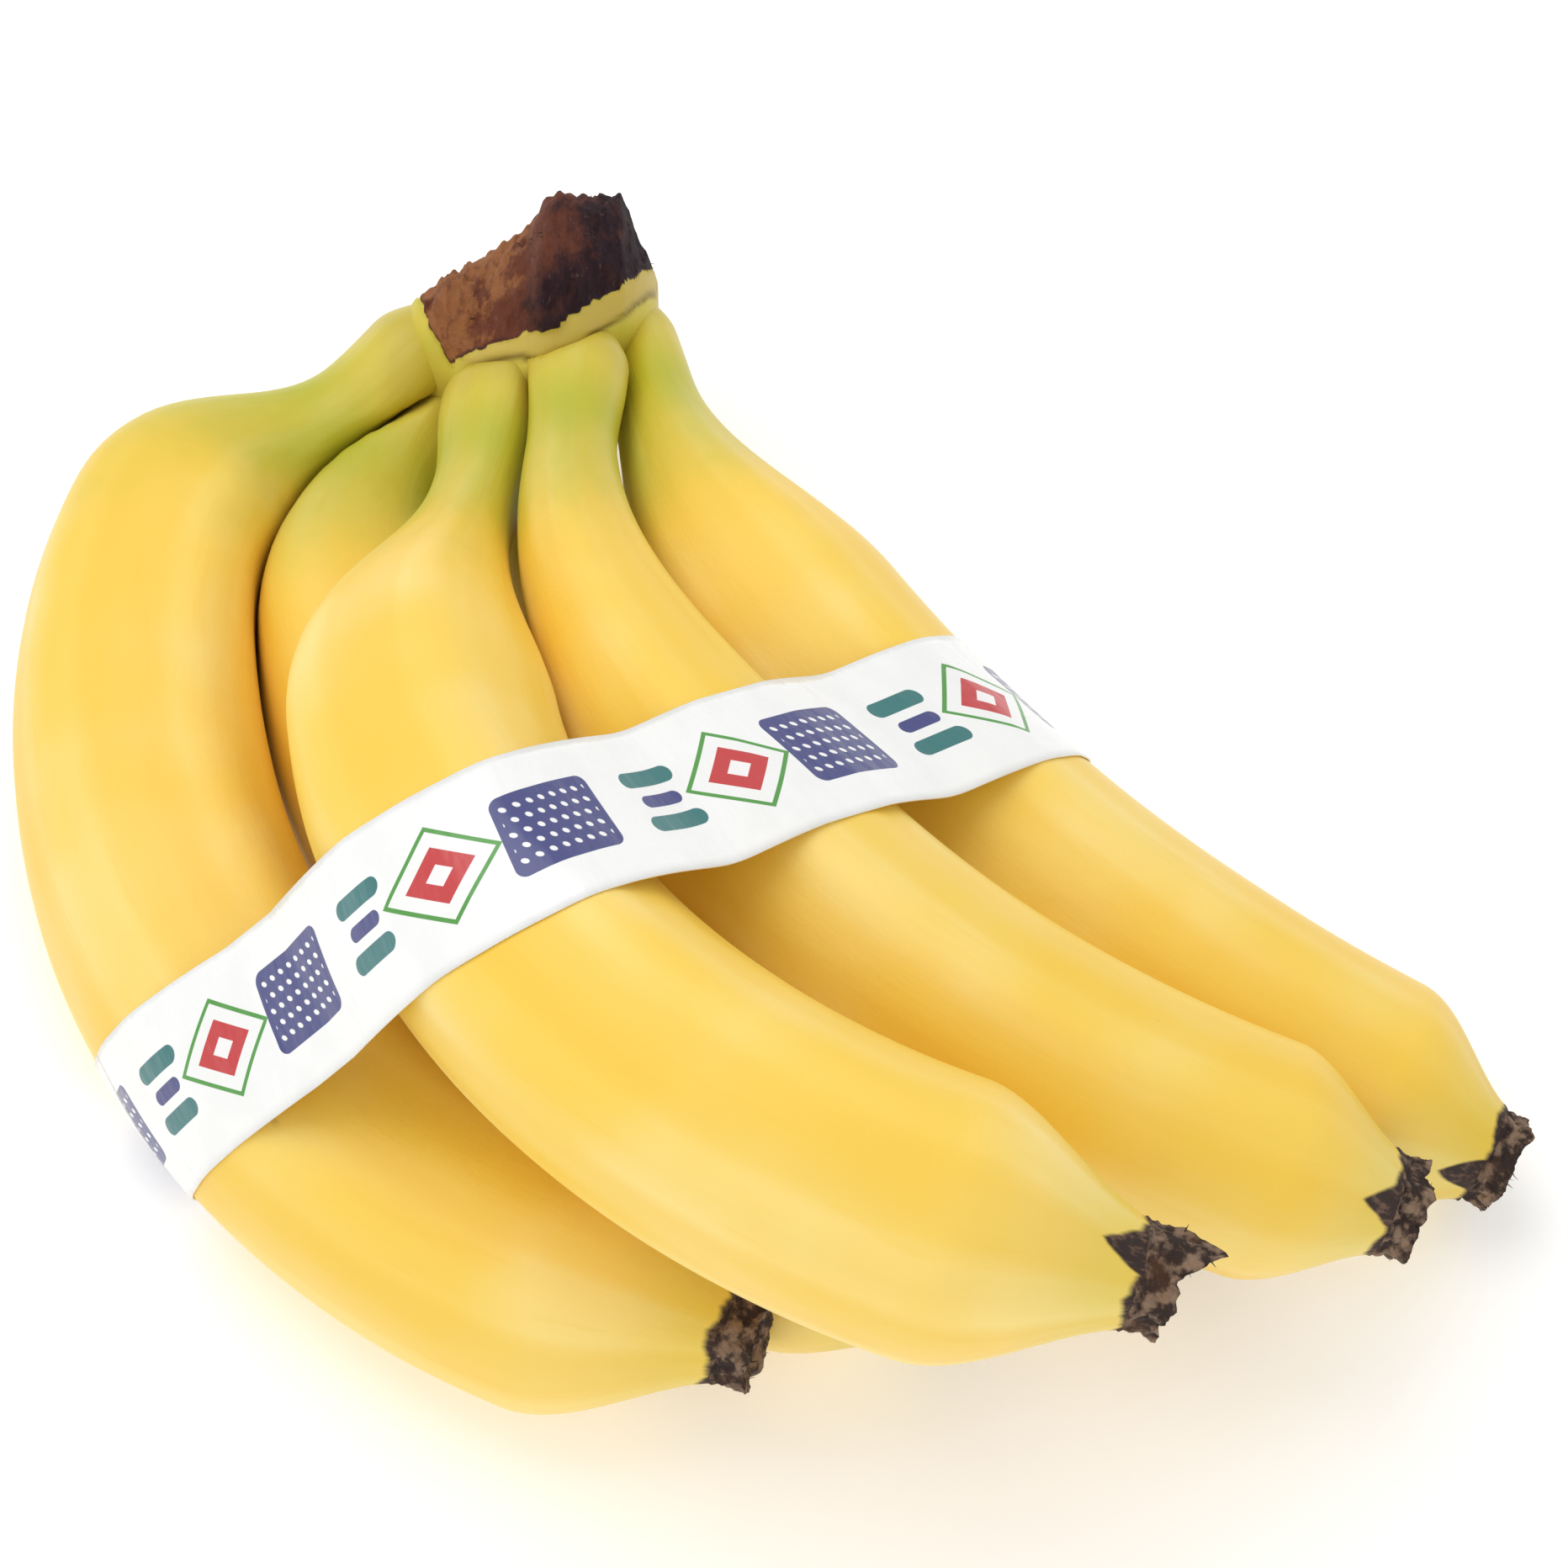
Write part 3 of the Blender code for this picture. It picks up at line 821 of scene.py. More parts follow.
def peel_material(settings):
    """Ripe peel: painted shade of deep gold between the ridges, pale patches, green necks, brown
    torn end.
    """
    material, kit, shader = new_material("banana_peel", {
        "Roughness": 0.4, "Coat Weight": 0.06, "Specular IOR Level": 0.38,
        "Coat Roughness": 0.35})
    skin = kit.attribute("skin", "Vector")
    along = kit.attribute("along")
    ridge = kit.attribute("ridge")
    long_skin = kit.vector("MULTIPLY", skin, (1.0, 1.0, 0.12))
    patch = kit.noise(skin, 26.0, 2.0)
    streak = kit.noise(long_skin, 420.0, 4.0, 0.6)
    colour = kit.mix(kit.smooth(patch, 0.36, 0.66), settings.ripe, settings.pale)
    # Painted shade: between the ridges the peel is mixed halfway towards deep gold.
    painted_groove_shade = 1 - kit.smooth(ridge, -0.75, 0.35)
    colour = kit.mix(painted_groove_shade * 0.5, colour, settings.deep)
    colour = kit.mix(kit.smooth(streak, 0.52, 0.8) * 0.3, colour, settings.deep)
    wander = kit.noise(skin, 60.0, 3.0) - 0.5
    neck = 1 - kit.smooth(along + wander * 0.12 - ridge * 0.015, 0.08, 0.31)
    neck = neck * (0.50 + 0.35 * kit.smooth(along, 0.055, 0.12))
    colour = kit.mix(neck, colour, settings.unripe)
    tip = kit.smooth(along + wander * 0.03, 0.90, 0.965)
    colour = kit.mix(tip * 0.22, colour, settings.unripe)
    speck = kit.value("ShaderNodeTexVoronoi", {"feature": "F1"},
                      {"Vector": kit.vector("MULTIPLY", skin, (1.0, 1.0, 0.6)),
                       "Scale": 95.0, "Randomness": 1.0})
    chance = kit.noise(skin, 33.0, 1.0)
    mark = (1 - kit.smooth(speck, 0.03, 0.07)) * kit.smooth(chance, 0.66, 0.72)
    scratch = kit.noise(kit.vector("MULTIPLY", skin, (1.0, 1.0, 0.05)), 900.0, 1.0)
    mark = mark * 0.5 + kit.smooth(scratch, 0.78, 0.86) * kit.smooth(chance, 0.56, 0.66) * 0.2
    colour = kit.mix(mark, colour, settings.scar)
    torn = kit.noise(kit.vector("MULTIPLY", skin, (1.0, 1.0, 0.5)), 240.0, 3.0) - 0.5
    burnt = kit.smooth(along + kit.attribute("tongue") * 0.024 + ridge * 0.002 + torn * 0.008,
                       0.9675, 0.9725)
    charred = kit.mix(kit.smooth(kit.noise(skin, 520.0, 4.0, 0.65), 0.46, 0.66) * 0.7,
                      TORN_DARK, TORN_LIGHT)
    colour = kit.mix(burnt, colour, charred)
    root = 1 - kit.smooth(along + wander * 0.05, 0.045, 0.075)
    colour = kit.mix(root * 0.15, colour, settings.scar)
    lumps = relief(kit, kit.noise(skin, 60.0, 2.0), 0.0010, 0.6)
    fibre = relief(kit, streak, 0.00012, 0.7, lumps)
    pores = relief(kit, kit.noise(skin, 1500.0, 2.0), 0.00004, 0.6, fibre)
    feed(kit, shader, colour=colour, normal=pores,
         roughness=0.36 + streak * 0.10 + burnt * 0.4 + mark * 0.2)
    return material


class BUNCH_OT_fruits(bpy.types.Operator):
    """Sweeps each fruit along its axis and presses it against its neighbours"""
    bl_idname = "bunch.fruits"
    bl_label = "Fruits"

    def execute(self, context):
        settings = context.scene.banana_bunch.peel
        material = peel_material(settings)
        tree = fruit_tree()
        places = ring_places(settings.rings)
        shape = (settings.rings, settings.sides)
        rings = np.unique(np.append(np.arange(0, shape[0], COARSE_RINGS), shape[0] - 1))
        sides = np.arange(0, shape[1], COARSE_SIDES)
        coarse = np.ix_(rings, sides)
        for name, fruit in FRUITS.items():
            mesh = grown_mesh(name + "_peel", axis_mesh(name, places), tree, {
                "Sides": settings.sides, "Girth": fruit["radius"] * MM,
                "Neck": fruit["stalk"] * MM, "Root": ROOT_RADIUS * MM, "End": TIP_RADIUS * MM,
                "Ridge": settings.ridge, "Length": fruit["length"] * MM,
                "Flare start": fruit["flare"][0], "Flare end": fruit["flare"][1],
                "End start": fruit["end"], "Shoulder": fruit["shoulder"] * MM,
                "Material": material})
            if len(mesh.vertices) != shape[0] * shape[1]:
                raise RuntimeError(f"{name}: the swept body has {len(mesh.vertices)} points")
            spots = spots_of(mesh).reshape(*shape, 3).astype(float) / MM
            centre = read(mesh, "centre", 3).reshape(*shape, 3) / MM
            reach_out = spots - centre
            wanted = np.linalg.norm(reach_out, axis=2)
            ray = reach_out / wanted[..., None]
            limit = pressed_limits(name, centre[coarse], ray[coarse], wanted[coarse])
            room = spread(limit - wanted[coarse], rings, sides, shape)
            held = wanted - PRESS_SOFT * np.log1p(np.exp(-room / PRESS_SOFT))
            held = np.where(room > PRESS_FREE, wanted, np.maximum(held, 1.0))
            lumps = grain(read(mesh, "skin", 3).reshape(*shape, 3) / MM, 26.0,
                          fruit["length"], 2)
            held = held * (1 + 0.006 * lumps * smooth(places, 0.1, 0.3)[:, None])
            spots = lifted(tucked(centre + held[..., None] * ray, places))
            mesh.vertices.foreach_set("co", (spots * MM).ravel())
            mesh.update()
            off = angle_off(angles(shape[1]), fruit["tongue"])
            tongue = np.broadcast_to(np.clip(1 - off / TONGUE_HALF, 0, 1), shape)
            store(mesh, "tongue", tongue.ravel())
            for spare in ("centre", "inward", "side"):
                mesh.attributes.remove(mesh.attributes[spare])
            add_piece(name + "_peel", mesh, name)
        return {"FINISHED"}


# ---------------------------------------------------------------- dried ends


def end_material(settings):
    """Dried blossom end: dark brown, weathered grey on the high places."""
    material, kit, shader = new_material("dried_end", {"Roughness": 0.85})
    spot = kit.value("ShaderNodeTexCoord", None, None, 3)
    mottle = kit.noise(spot, 420.0, 5.0, 0.65)
    height = kit.attribute("relief")
    grey = kit.smooth(mottle + height * 0.16, 0.42, 0.66)
    colour = kit.mix(grey * 0.85, settings.dark, settings.grey)
    colour = kit.mix(kit.smooth(kit.noise(spot, 150.0, 2.0), 0.5, 0.7) * 0.35, colour,
                     END_BROWN)
    rough = relief(kit, kit.noise(spot, 1600.0, 4.0, 0.7), 0.0004, 0.8)
    feed(kit, shader, colour=colour, normal=rough, roughness=0.95 - grey * 0.2)
    return material


def dried_finish(settings):
    """The material of dried ends and fibres, made once and used again."""
    return bpy.data.materials.get("dried_end") or end_material(settings)


def end_rows(name, sides, roughness, seed):
    """Rings of a dried end: out of the peel, over a torn rim, down into the pit.

    Also the height of their relief, and the points that close the last and the first ring.
    """
    fruit = FRUITS[name]
    angle = angles(sides)
    circle = np.stack([np.cos(angle), np.sin(angle), np.zeros(sides)], axis=1)
    lobes = np.cos(5 * (angle - RIDGE_TURN) + 0.9 * grain(circle * 3, 2.0, seed, 1))
    jag = grain(circle * 6, 1.7, seed + 7, 3)
    spike = np.maximum(grain(circle * 6, 2.6, seed + 31, 1), 0) ** 2
    rim = 0.994 + 0.0012 * lobes + 0.0012 * jag + 0.003 * spike
    off = angle_off(angle, fruit["tongue"] - 25)
    rim = np.minimum(rim, 1.003) + fruit.get("horn", 0.0) * np.clip(1 - off / 0.75, 0, 1)
    outer = [(0.956, 0.80), (0.962, 0.86), (0.967, 0.90), (0.971, 0.95), (RIM_START, 1.02)]
    rows = []
    for t, share in outer:
        rows.append((np.full(sides, t), round_radius(t, fruit) * share * (1 + 0.035 * lobes),
                     0.25))
    for part in np.linspace(0.08, 1.0, 16):
        t = RIM_START + (rim - RIM_START) * part
        size = TIP_RADIUS * (1.05 - 0.04 * bump(part, 0.1, 0.9) + 0.02 * smooth(part, 0.8, 1))
        rows.append((t, size * (1 + (0.035 + 0.015 * part) * lobes + 0.018 * part * jag), 1.0))
    for part in np.linspace(0.1, 1.0, 12):
        t = rim - (rim - 0.987) * smooth(part, -0.1, 0.75) + 0.005 * smooth(part, 0.7, 1.0)
        size = TIP_RADIUS * (1.06 - 0.98 * part ** 0.9)
        rows.append((t, size * (1 + 0.06 * (1 - part) * lobes), 1.0))
    spots, heights = [], []
    for t, size, strength in rows:
        beyond = np.maximum(t - 1.0, 0.0) * fruit["length"]
        centre, heading, inward, side = at(LINES[name], t)
        ray = np.cos(angle)[:, None] * inward + np.sin(angle)[:, None] * side
        place = centre + heading * beyond[:, None] + ray * np.asarray(size)[:, None]
        rough = grain(place, 2.1, seed, 4) + 0.5 * grain(place, 0.9, seed + 3, 2)
        spots.append(place + ray * (rough * strength * roughness)[:, None]
                     + heading * (grain(place, 1.6, seed + 50, 3) * strength * roughness)[:, None])
        heights.append(rough * strength)
    return spots, heights, at(LINES[name], 0.991)[0], at(LINES[name], 0.953)[0]


def sliver():
    """A dried fibre: a thin bent strip one unit long, standing on the origin."""
    points, faces = [], []
    for index in range(5):
        part = index / 4
        wide = 0.075 * (1 - part) ** 0.7 + 0.008
        bent = 0.30 * part * part
        for x, y in ((-wide, -0.3 * wide), (wide, -0.3 * wide), (0.0, wide)):
            points.append((x, y + bent, part))
    for index in range(4):
        faces += quads(index * 3, index * 3 + 3, 3)
    faces += [(2, 1, 0), (12, 13, 14)]
    return bpy.data.objects.new("sliver", bare_mesh("sliver", points, faces))


def fibre_tree():
    """Fibres strewn over a surface where its attribute 'frayed' says so."""
    tree, kit, given = shape_tree("dried_fibres", [
        ("Fibre", "Object"), ("Density", "Float"), ("Length", "Float"), ("Lean", "Float"),
        ("Seed", "Int"), ("Material", "Material")])
    strewn = kit.node("GeometryNodeDistributePointsOnFaces", {"distribute_method": "RANDOM"},
                      {"Mesh": given["Geometry"], "Density": given["Density"] * kit.kept("frayed"),
                       "Seed": given["Seed"]})
    seat = Value(kit, strewn.outputs["Points"])
    turned = Value(kit, strewn.outputs["Rotation"])

    def chance(low, high, offset):
        return kit.value("FunctionNodeRandomValue", {"data_type": "FLOAT"},
                         {2: low, 3: high, "Seed": given["Seed"] + offset}, 1)

    tilt = kit.value("ShaderNodeCombineXYZ", None,
                     {0: chance(0.0, 1.0, 1) * given["Lean"], 1: 0.0,
                      2: chance(0.0, math.tau, 2)})
    tilt = kit.value("FunctionNodeEulerToRotation", None, {0: tilt})
    turned = kit.value("FunctionNodeRotateRotation", {"rotation_space": "LOCAL"},
                       {0: turned, 1: tilt})
    fibre = kit.value("GeometryNodeObjectInfo", {"transform_space": "ORIGINAL"},
                      {"Object": given["Fibre"]}, 4)
    placed = kit.value("GeometryNodeInstanceOnPoints", None,
                       {"Points": seat, "Instance": fibre, "Rotation": turned,
                        "Scale": given["Length"] * chance(0.35, 1.0, 3)})
    end_tree(kit, placed, given["Material"])
    return tree


def joined(name, meshes):
    """One mesh from several."""
    points, faces, frayed = [], [], []
    for mesh in meshes:
        base = len(points)
        points += [tuple(vertex.co) for vertex in mesh.vertices]
        faces += [tuple(base + index for index in face.vertices) for face in mesh.polygons]
        frayed += list(read(mesh, "frayed"))
    mesh = bare_mesh(name, points, faces)
    store(mesh, "frayed", frayed)
    return mesh


def add_fibres(name, base, material, density, length, lean, seed):
    """A piece of strewn fibres."""
    item = sliver()
    mesh = grown_mesh(name, base, fibre_tree(), {
        "Fibre": item, "Density": density, "Length": length, "Lean": lean, "Seed": seed,
        "Material": material})
    mesh.shade_smooth()
    bpy.data.objects.remove(item)
    add_piece(name, mesh)


class BUNCH_OT_ends(bpy.types.Operator):
    """Makes the dried blossom end of each fruit, with its loose fibres"""
    bl_idname = "bunch.ends"
    bl_label = "Dried ends"

    def execute(self, context):
        settings = context.scene.banana_bunch.ends
        material = dried_finish(settings)
        made = []
        for number, name in enumerate(FRUITS):
            rows, heights, last, first = end_rows(name, settings.sides,
                                                  settings.roughness / MM, 11.3 * number)
            points, faces = closed_rows(rows, first, last)
            points[:, 2] = np.maximum(points[:, 2], 0.05)
            mesh = plain_mesh(name + "_dried_end", points, faces, material)
            height = np.append(np.concatenate(heights), [0.0, 0.0])
            store(mesh, "relief", height)
            frayed = np.zeros(len(points))
            frayed[FRAYED_ROWS[0] * settings.sides:FRAYED_ROWS[1] * settings.sides] = 1.0
            store(mesh, "frayed", frayed)
            made.append(mesh)
            add_piece(name + "_dried_end", mesh)
        add_fibres("blossom_fibres", joined("blossom_seats", made), material,
                   settings.fibres * 1e4, settings.fibre, 1.1, 4)
        return {"FINISHED"}


# ---------------------------------------------------------------- crown


def crown_section(x):
    """Middle and half sizes of the crown at x."""
    rows = np.array(CROWN, float)
    return [np.interp(x, rows[:, 0], rows[:, column]) for column in (1, 2, 3, 4)]


def crown_grid(bark):
    """Points of the crown in the layout, with how much of each finish they carry."""
    stations = np.concatenate([np.linspace(-60.0, -57.0, 14)[:-1],
                               np.linspace(-57.0, -23.4, 84)[:-1],
                               np.linspace(-23.4, -20.2, 14)])
    angle = angles(CROWN_SIDES)
    cosine = np.cos(angle)
    sine = np.sin(angle)
    power = (np.abs(cosine) ** CROWN_POWER + np.abs(sine) ** CROWN_POWER) ** (-1 / CROWN_POWER)
    grid = []
    for x in stations:
        y, z, depth, height = crown_section(x)
        round_end = math.sqrt(max(0.0, 1 - max(0.0, (abs(x + 40.1) - 18.1) / 1.8) ** 2))
        size = power * (0.55 + 0.45 * round_end) * (1 - 0.28 * (1 - smooth(x, -58, -50)))
        grid.append(np.stack([np.full(CROWN_SIDES, x), y + depth * size * cosine,
                              z + height * size * sine], axis=1))
    grid = np.array(grid)
    middle = np.array([np.array([x, *crown_section(x)[:2]]) for x in stations])[:, None, :]
    away = grid - middle
    away /= np.linalg.norm(away, axis=2, keepdims=True)
    x, y, z = grid[..., 0], grid[..., 1], grid[..., 2]
    rise = picture_height(grid)
    grid[..., 0] -= 1.6 * smooth(rise, 79, 86) * smooth(x, -30, -20.2)
    top = smooth(sine, 0.2, 0.95)[None, :]
    saddle = smooth(x, -56, -47) * (1 - smooth(x, -41, -37)) * top
    streaks = grain(grid * np.array([1.0, 0.35, 0.4]), 1.7, 3.0, 4)
    lumps = grain(grid, 9.0, 9.0, 3)
    pits = np.zeros(x.shape)
    for px, py, pz, wide, deep in CROWN_PITS:
        gap = np.sqrt((x - px) ** 2 + (y - py) ** 2 * 0.3 + (z - pz) ** 2)
        pits += deep * (1 - smooth(gap, 0.3 * wide, 1.6 * wide))
    edge = np.interp(x, *zip(*BARK_EDGE)) + 0.7 * grain(grid, 2.6, 5.0, 2)
    line = np.interp(x, *zip(*LIP_LINE)) + 0.4 * grain(grid, 5.0, 15.0, 2)
    cut = smooth(rise - edge, -0.35, 0.35)
    lip = (1 - cut) * smooth(rise - line, -0.3, 0.3) * smooth(x, -52, -48)
    held = np.min([reach(to_part(grid), name) for name in FRUITS], axis=0)
    swell = (1 - cut) * (1 - smooth(held, -4.0, 3.0))
    for _ in range(6):
        swell = eased(swell)
        swell[1:-1] = (swell[:-2] + swell[1:-1] + swell[2:]) / 3
    # The crease under the lip is sunk a little and carries painted shade.
    crease = np.exp(-((rise - line) / 0.45) ** 2) * smooth(x, -52, -45)
    push = (cut * (0.9 + bark * streaks * 1.5 + 0.6 * lumps - pits) - 6.0 * saddle
            + 2.2 * swell * (1 - 0.7 * smooth(x, -34, -26)) + 0.9 * lip - 0.5 * crease)
    grid = grid + away * push[..., None]
    outline = np.exp(-((rise - edge) / 0.5) ** 2) * (1 - smooth(x, -46, -36))
    dark = smooth(0.9 * (x + 40) - 0.25 * (rise - 78) + 4 * lumps, -10, 11)
    finish = {"cut": cut, "lip": lip, "dark": dark,
              "pit": np.maximum(np.minimum(pits, 1.5) * cut, outline),
              "crease": crease * (1 - cut),
              "frayed": cut * np.maximum(smooth(sine, 0.6, 0.95)[None, :] * np.ones_like(x),
                                         1 - smooth(x, -60, -58.5))}
    return grid, finish


def crown_material(settings):
    """Dried crown: streaked bark, orange brown to black, with an olive collar and painted shade in
    the crease under it.
    """
    material, kit, shader = new_material("crown_bark", {
        "Roughness": 0.8, "Specular IOR Level": 0.25})
    spot = kit.attribute("layout", "Vector")
    streak = kit.noise(kit.vector("MULTIPLY", spot, (1.0, 0.45, 0.5)), 0.75, 5.0, 0.65)
    blotch = kit.noise(spot, 0.13, 3.0, 0.6, 0.6)
    cut = kit.attribute("cut")
    colour = kit.mix(kit.smooth(blotch + (streak - 0.5) * 0.6, 0.46, 0.68),
                     settings.rust, settings.bark_brown)
    dark = kit.attribute("dark") + (blotch - 0.5) * 0.9 + (streak - 0.5) * 0.8
    colour = kit.mix(kit.smooth(dark, 0.05, 0.36), colour, settings.bark_brown)
    colour = kit.mix(kit.smooth(dark, 0.42, 1.0), colour, settings.black)
    colour = kit.mix(kit.smooth(kit.attribute("pit"), 0.2, 1.0) * 0.8, colour,
                     settings.black)
    colour = kit.mix(kit.smooth(streak, 0.58, 0.72) * 0.3, colour, BARK_STREAK)
    skin = kit.mix(kit.smooth(kit.noise(spot, 0.09, 2.0), 0.35, 0.65) * 0.6,
                   settings.skin, SKIN_OLIVE)
    lip = kit.attribute("lip")
    skin = kit.mix(lip * (0.55 + streak * 0.5), skin, settings.collar)
    # Painted shade: brown along the crease under the lip.
    skin = kit.mix(kit.attribute("crease") * 0.75, skin, CREASE_SHADE_BROWN)
    colour = kit.mix(kit.smooth(cut + (streak - 0.5) * 0.3, 0.35, 0.65), skin, colour)
    rough = relief(kit, kit.noise(spot, 1.6, 5.0, 0.7) * cut, 0.0006, 0.8)
    feed(kit, shader, colour=colour, normal=rough, roughness=0.45 + cut * (0.25 + streak * 0.25))
    return material


class BUNCH_OT_crown(bpy.types.Operator):
    """Makes the crown that joins the necks, with its torn fibres"""
    bl_idname = "bunch.crown"
    bl_label = "Crown"

    def execute(self, context):
        settings = context.scene.banana_bunch.crown
        material = crown_material(settings)
        grid, finish = crown_grid(settings.bark / MM)
        ends = [grid[0].mean(axis=0), grid[-1].mean(axis=0)]
        layout = np.vstack([*grid, *ends])
        rows = [to_part(row) for row in grid]
        points, faces = closed_rows(rows, to_part(ends[0]), to_part(ends[1]))
        mesh = plain_mesh("crown_bark", points, faces, material)
        store(mesh, "layout", layout)
        for name, values in finish.items():
            store(mesh, name, np.append(values.ravel(), [0.0, 0.0]))
        add_piece("crown_bark", mesh, "crown")
        fibre = dried_finish(context.scene.banana_bunch.ends)
        add_fibres("crown_fibres", joined("crown_seats", [mesh]), fibre,
                   CROWN_FIBRES, settings.fibre, 1.3, 9)
        return {"FINISHED"}


# ---------------------------------------------------------------- band


def hull(points):
    """Outline of a flat set of points, turning left."""
    points = sorted(set((round(float(a), 5), round(float(b), 5)) for a, b in points))

    def half(sequence):
        chain = []
        for spot in sequence:
            while len(chain) > 1:
                ax, ay = chain[-2]
                bx, by = chain[-1]
                if (bx - ax) * (spot[1] - ay) - (by - ay) * (spot[0] - ax) > 0:
                    break
                chain.pop()
            chain.append(spot)
        return chain[:-1]
    return half(points) + half(points[::-1])


def grown(outline, amount):
    """The outline pushed out by an amount, with round corners."""
    angle = angles(36)
    ring = np.stack([np.cos(angle), np.sin(angle)], axis=1) * amount / math.cos(math.pi / 36)
    return hull((np.array(outline)[:, None, :] + ring[None, :, :]).reshape(-1, 2))


def along_ray(outline, middle, angle):
    """Where rays from the middle meet the outline."""
    start = np.array(outline)
    edge = np.roll(start, -1, axis=0) - start
    ray = np.stack([np.cos(angle), np.sin(angle)], axis=1)
    divide = ray[:, None, 0] * edge[None, :, 1] - ray[:, None, 1] * edge[None, :, 0]
    divide = np.where(np.abs(divide) < 1e-12, 1e-12, divide)
    apart = start - middle
    far = (apart[:, 0] * edge[:, 1] - apart[:, 1] * edge[:, 0])[None, :] / divide
    share = (apart[None, :, 0] * ray[:, None, 1] - apart[None, :, 1] * ray[:, None, 0]) / divide
    hit = np.where((far > 0) & (share >= -1e-9) & (share <= 1 + 1e-9), far, 0.0).max(axis=1)
    return middle + hit[:, None] * ray


def crossing(level, normal, across, upward):
    """Where the fruits' skins cross a plane of the band, seen flat."""
    cuts = []
    for name in FRUITS:
        mesh = bpy.data.objects[name + "_peel"].data
        spots = layout_of(spots_of(mesh) / MM)
        edges = np.zeros(len(mesh.edges) * 2, np.int32)
        mesh.edges.foreach_get("vertices", edges)
        a, b = spots[edges[0::2]], spots[edges[1::2]]
        low, high = a @ normal - level, b @ normal - level
        cut = (low < 0) != (high < 0)
        part = (low[cut] / (low[cut] - high[cut]))[:, None]
        spot = a[cut] * (1 - part) + b[cut] * part
        cuts += list(zip(spot @ across, spot @ upward))
    return hull(cuts)


def band_material(settings):
    """Glossy white paper with a plain print of dotted blocks, lozenges and bars."""
    material, kit, shader = new_material("paper_band", {
        "Roughness": 0.3, "Coat Weight": 0.35, "Coat Roughness": 0.2})
    place = kit.attribute("print", "Vector")
    run, across, _ = kit.split(place)
    cell = kit.sum("WRAP", run, PRINT_REPEAT, 0.0)

    def box(middle_x, middle_y, half_x, half_y, corner=0.0):
        """1 inside a block, with soft edges a tenth of a millimetre wide."""
        dx = kit.sum("MAXIMUM", kit.sum("ABSOLUTE", cell - middle_x) - (half_x - corner), 0.0)
        dy = kit.sum("MAXIMUM", kit.sum("ABSOLUTE", across - middle_y) - (half_y - corner),
                     0.0)
        gap = kit.sum("SQRT", dx * dx + dy * dy) - corner
        return 1 - kit.smooth(gap, -0.06, 0.06)

    def lozenge(middle_x, middle_y, size):
        gap = (kit.sum("ABSOLUTE", cell - middle_x) * 0.8
               + kit.sum("ABSOLUTE", across - middle_y)) - size
        return 1 - kit.smooth(gap, -0.06, 0.06)

    def dots(pitch, size):
        dx = kit.sum("WRAP", cell + across * 0.5, pitch / 2, -pitch / 2)
        dy = kit.sum("WRAP", across, pitch / 2, -pitch / 2)
        return 1 - kit.smooth(kit.sum("SQRT", dx * dx + dy * dy), size - 0.07, size + 0.07)

    white = settings.paper
    mottle = kit.noise(place, 0.12, 2.0)
    colour = kit.mix(kit.smooth(mottle, 0.4, 0.7) * 0.3, white, PAPER_SHADE)
    prints = [
        (box(12.0, PRINT_MIDDLE, 8.6, 6.4, 1.6), settings.navy),
        (box(12.0, PRINT_MIDDLE, 7.6, 5.4, 1.0) * dots(2.1, 0.46), settings.paper),
        (lozenge(30.0, PRINT_MIDDLE, 7.6), settings.green),
        (lozenge(30.0, PRINT_MIDDLE, 6.8), settings.paper),
        (lozenge(30.0, PRINT_MIDDLE, 4.4), settings.red),
        (lozenge(30.0, PRINT_MIDDLE, 1.7), settings.paper),
        (box(44.0, PRINT_MIDDLE - 4.1, 5.0, 1.4, 1.4), settings.teal),
        (box(44.0, PRINT_MIDDLE, 3.6, 1.1, 1.1), settings.navy),
        (box(44.0, PRINT_MIDDLE + 4.1, 5.0, 1.4, 1.4), settings.teal),
    ]
    for mask, ink in prints:
        colour = kit.mix(mask * 0.97, colour, ink)
    crease = kit.noise(kit.vector("MULTIPLY", place, (1.0, 0.35, 1.0)), 0.16, 3.0, 0.55)
    normal = relief(kit, crease, 0.0016, 0.5)
    normal = relief(kit, kit.noise(place, 3.0, 3.0), 0.00005, 0.5, normal)
    feed(kit, shader, colour=colour, normal=normal,
         roughness=0.26 + kit.smooth(mottle, 0.3, 0.7) * 0.1)
    return material


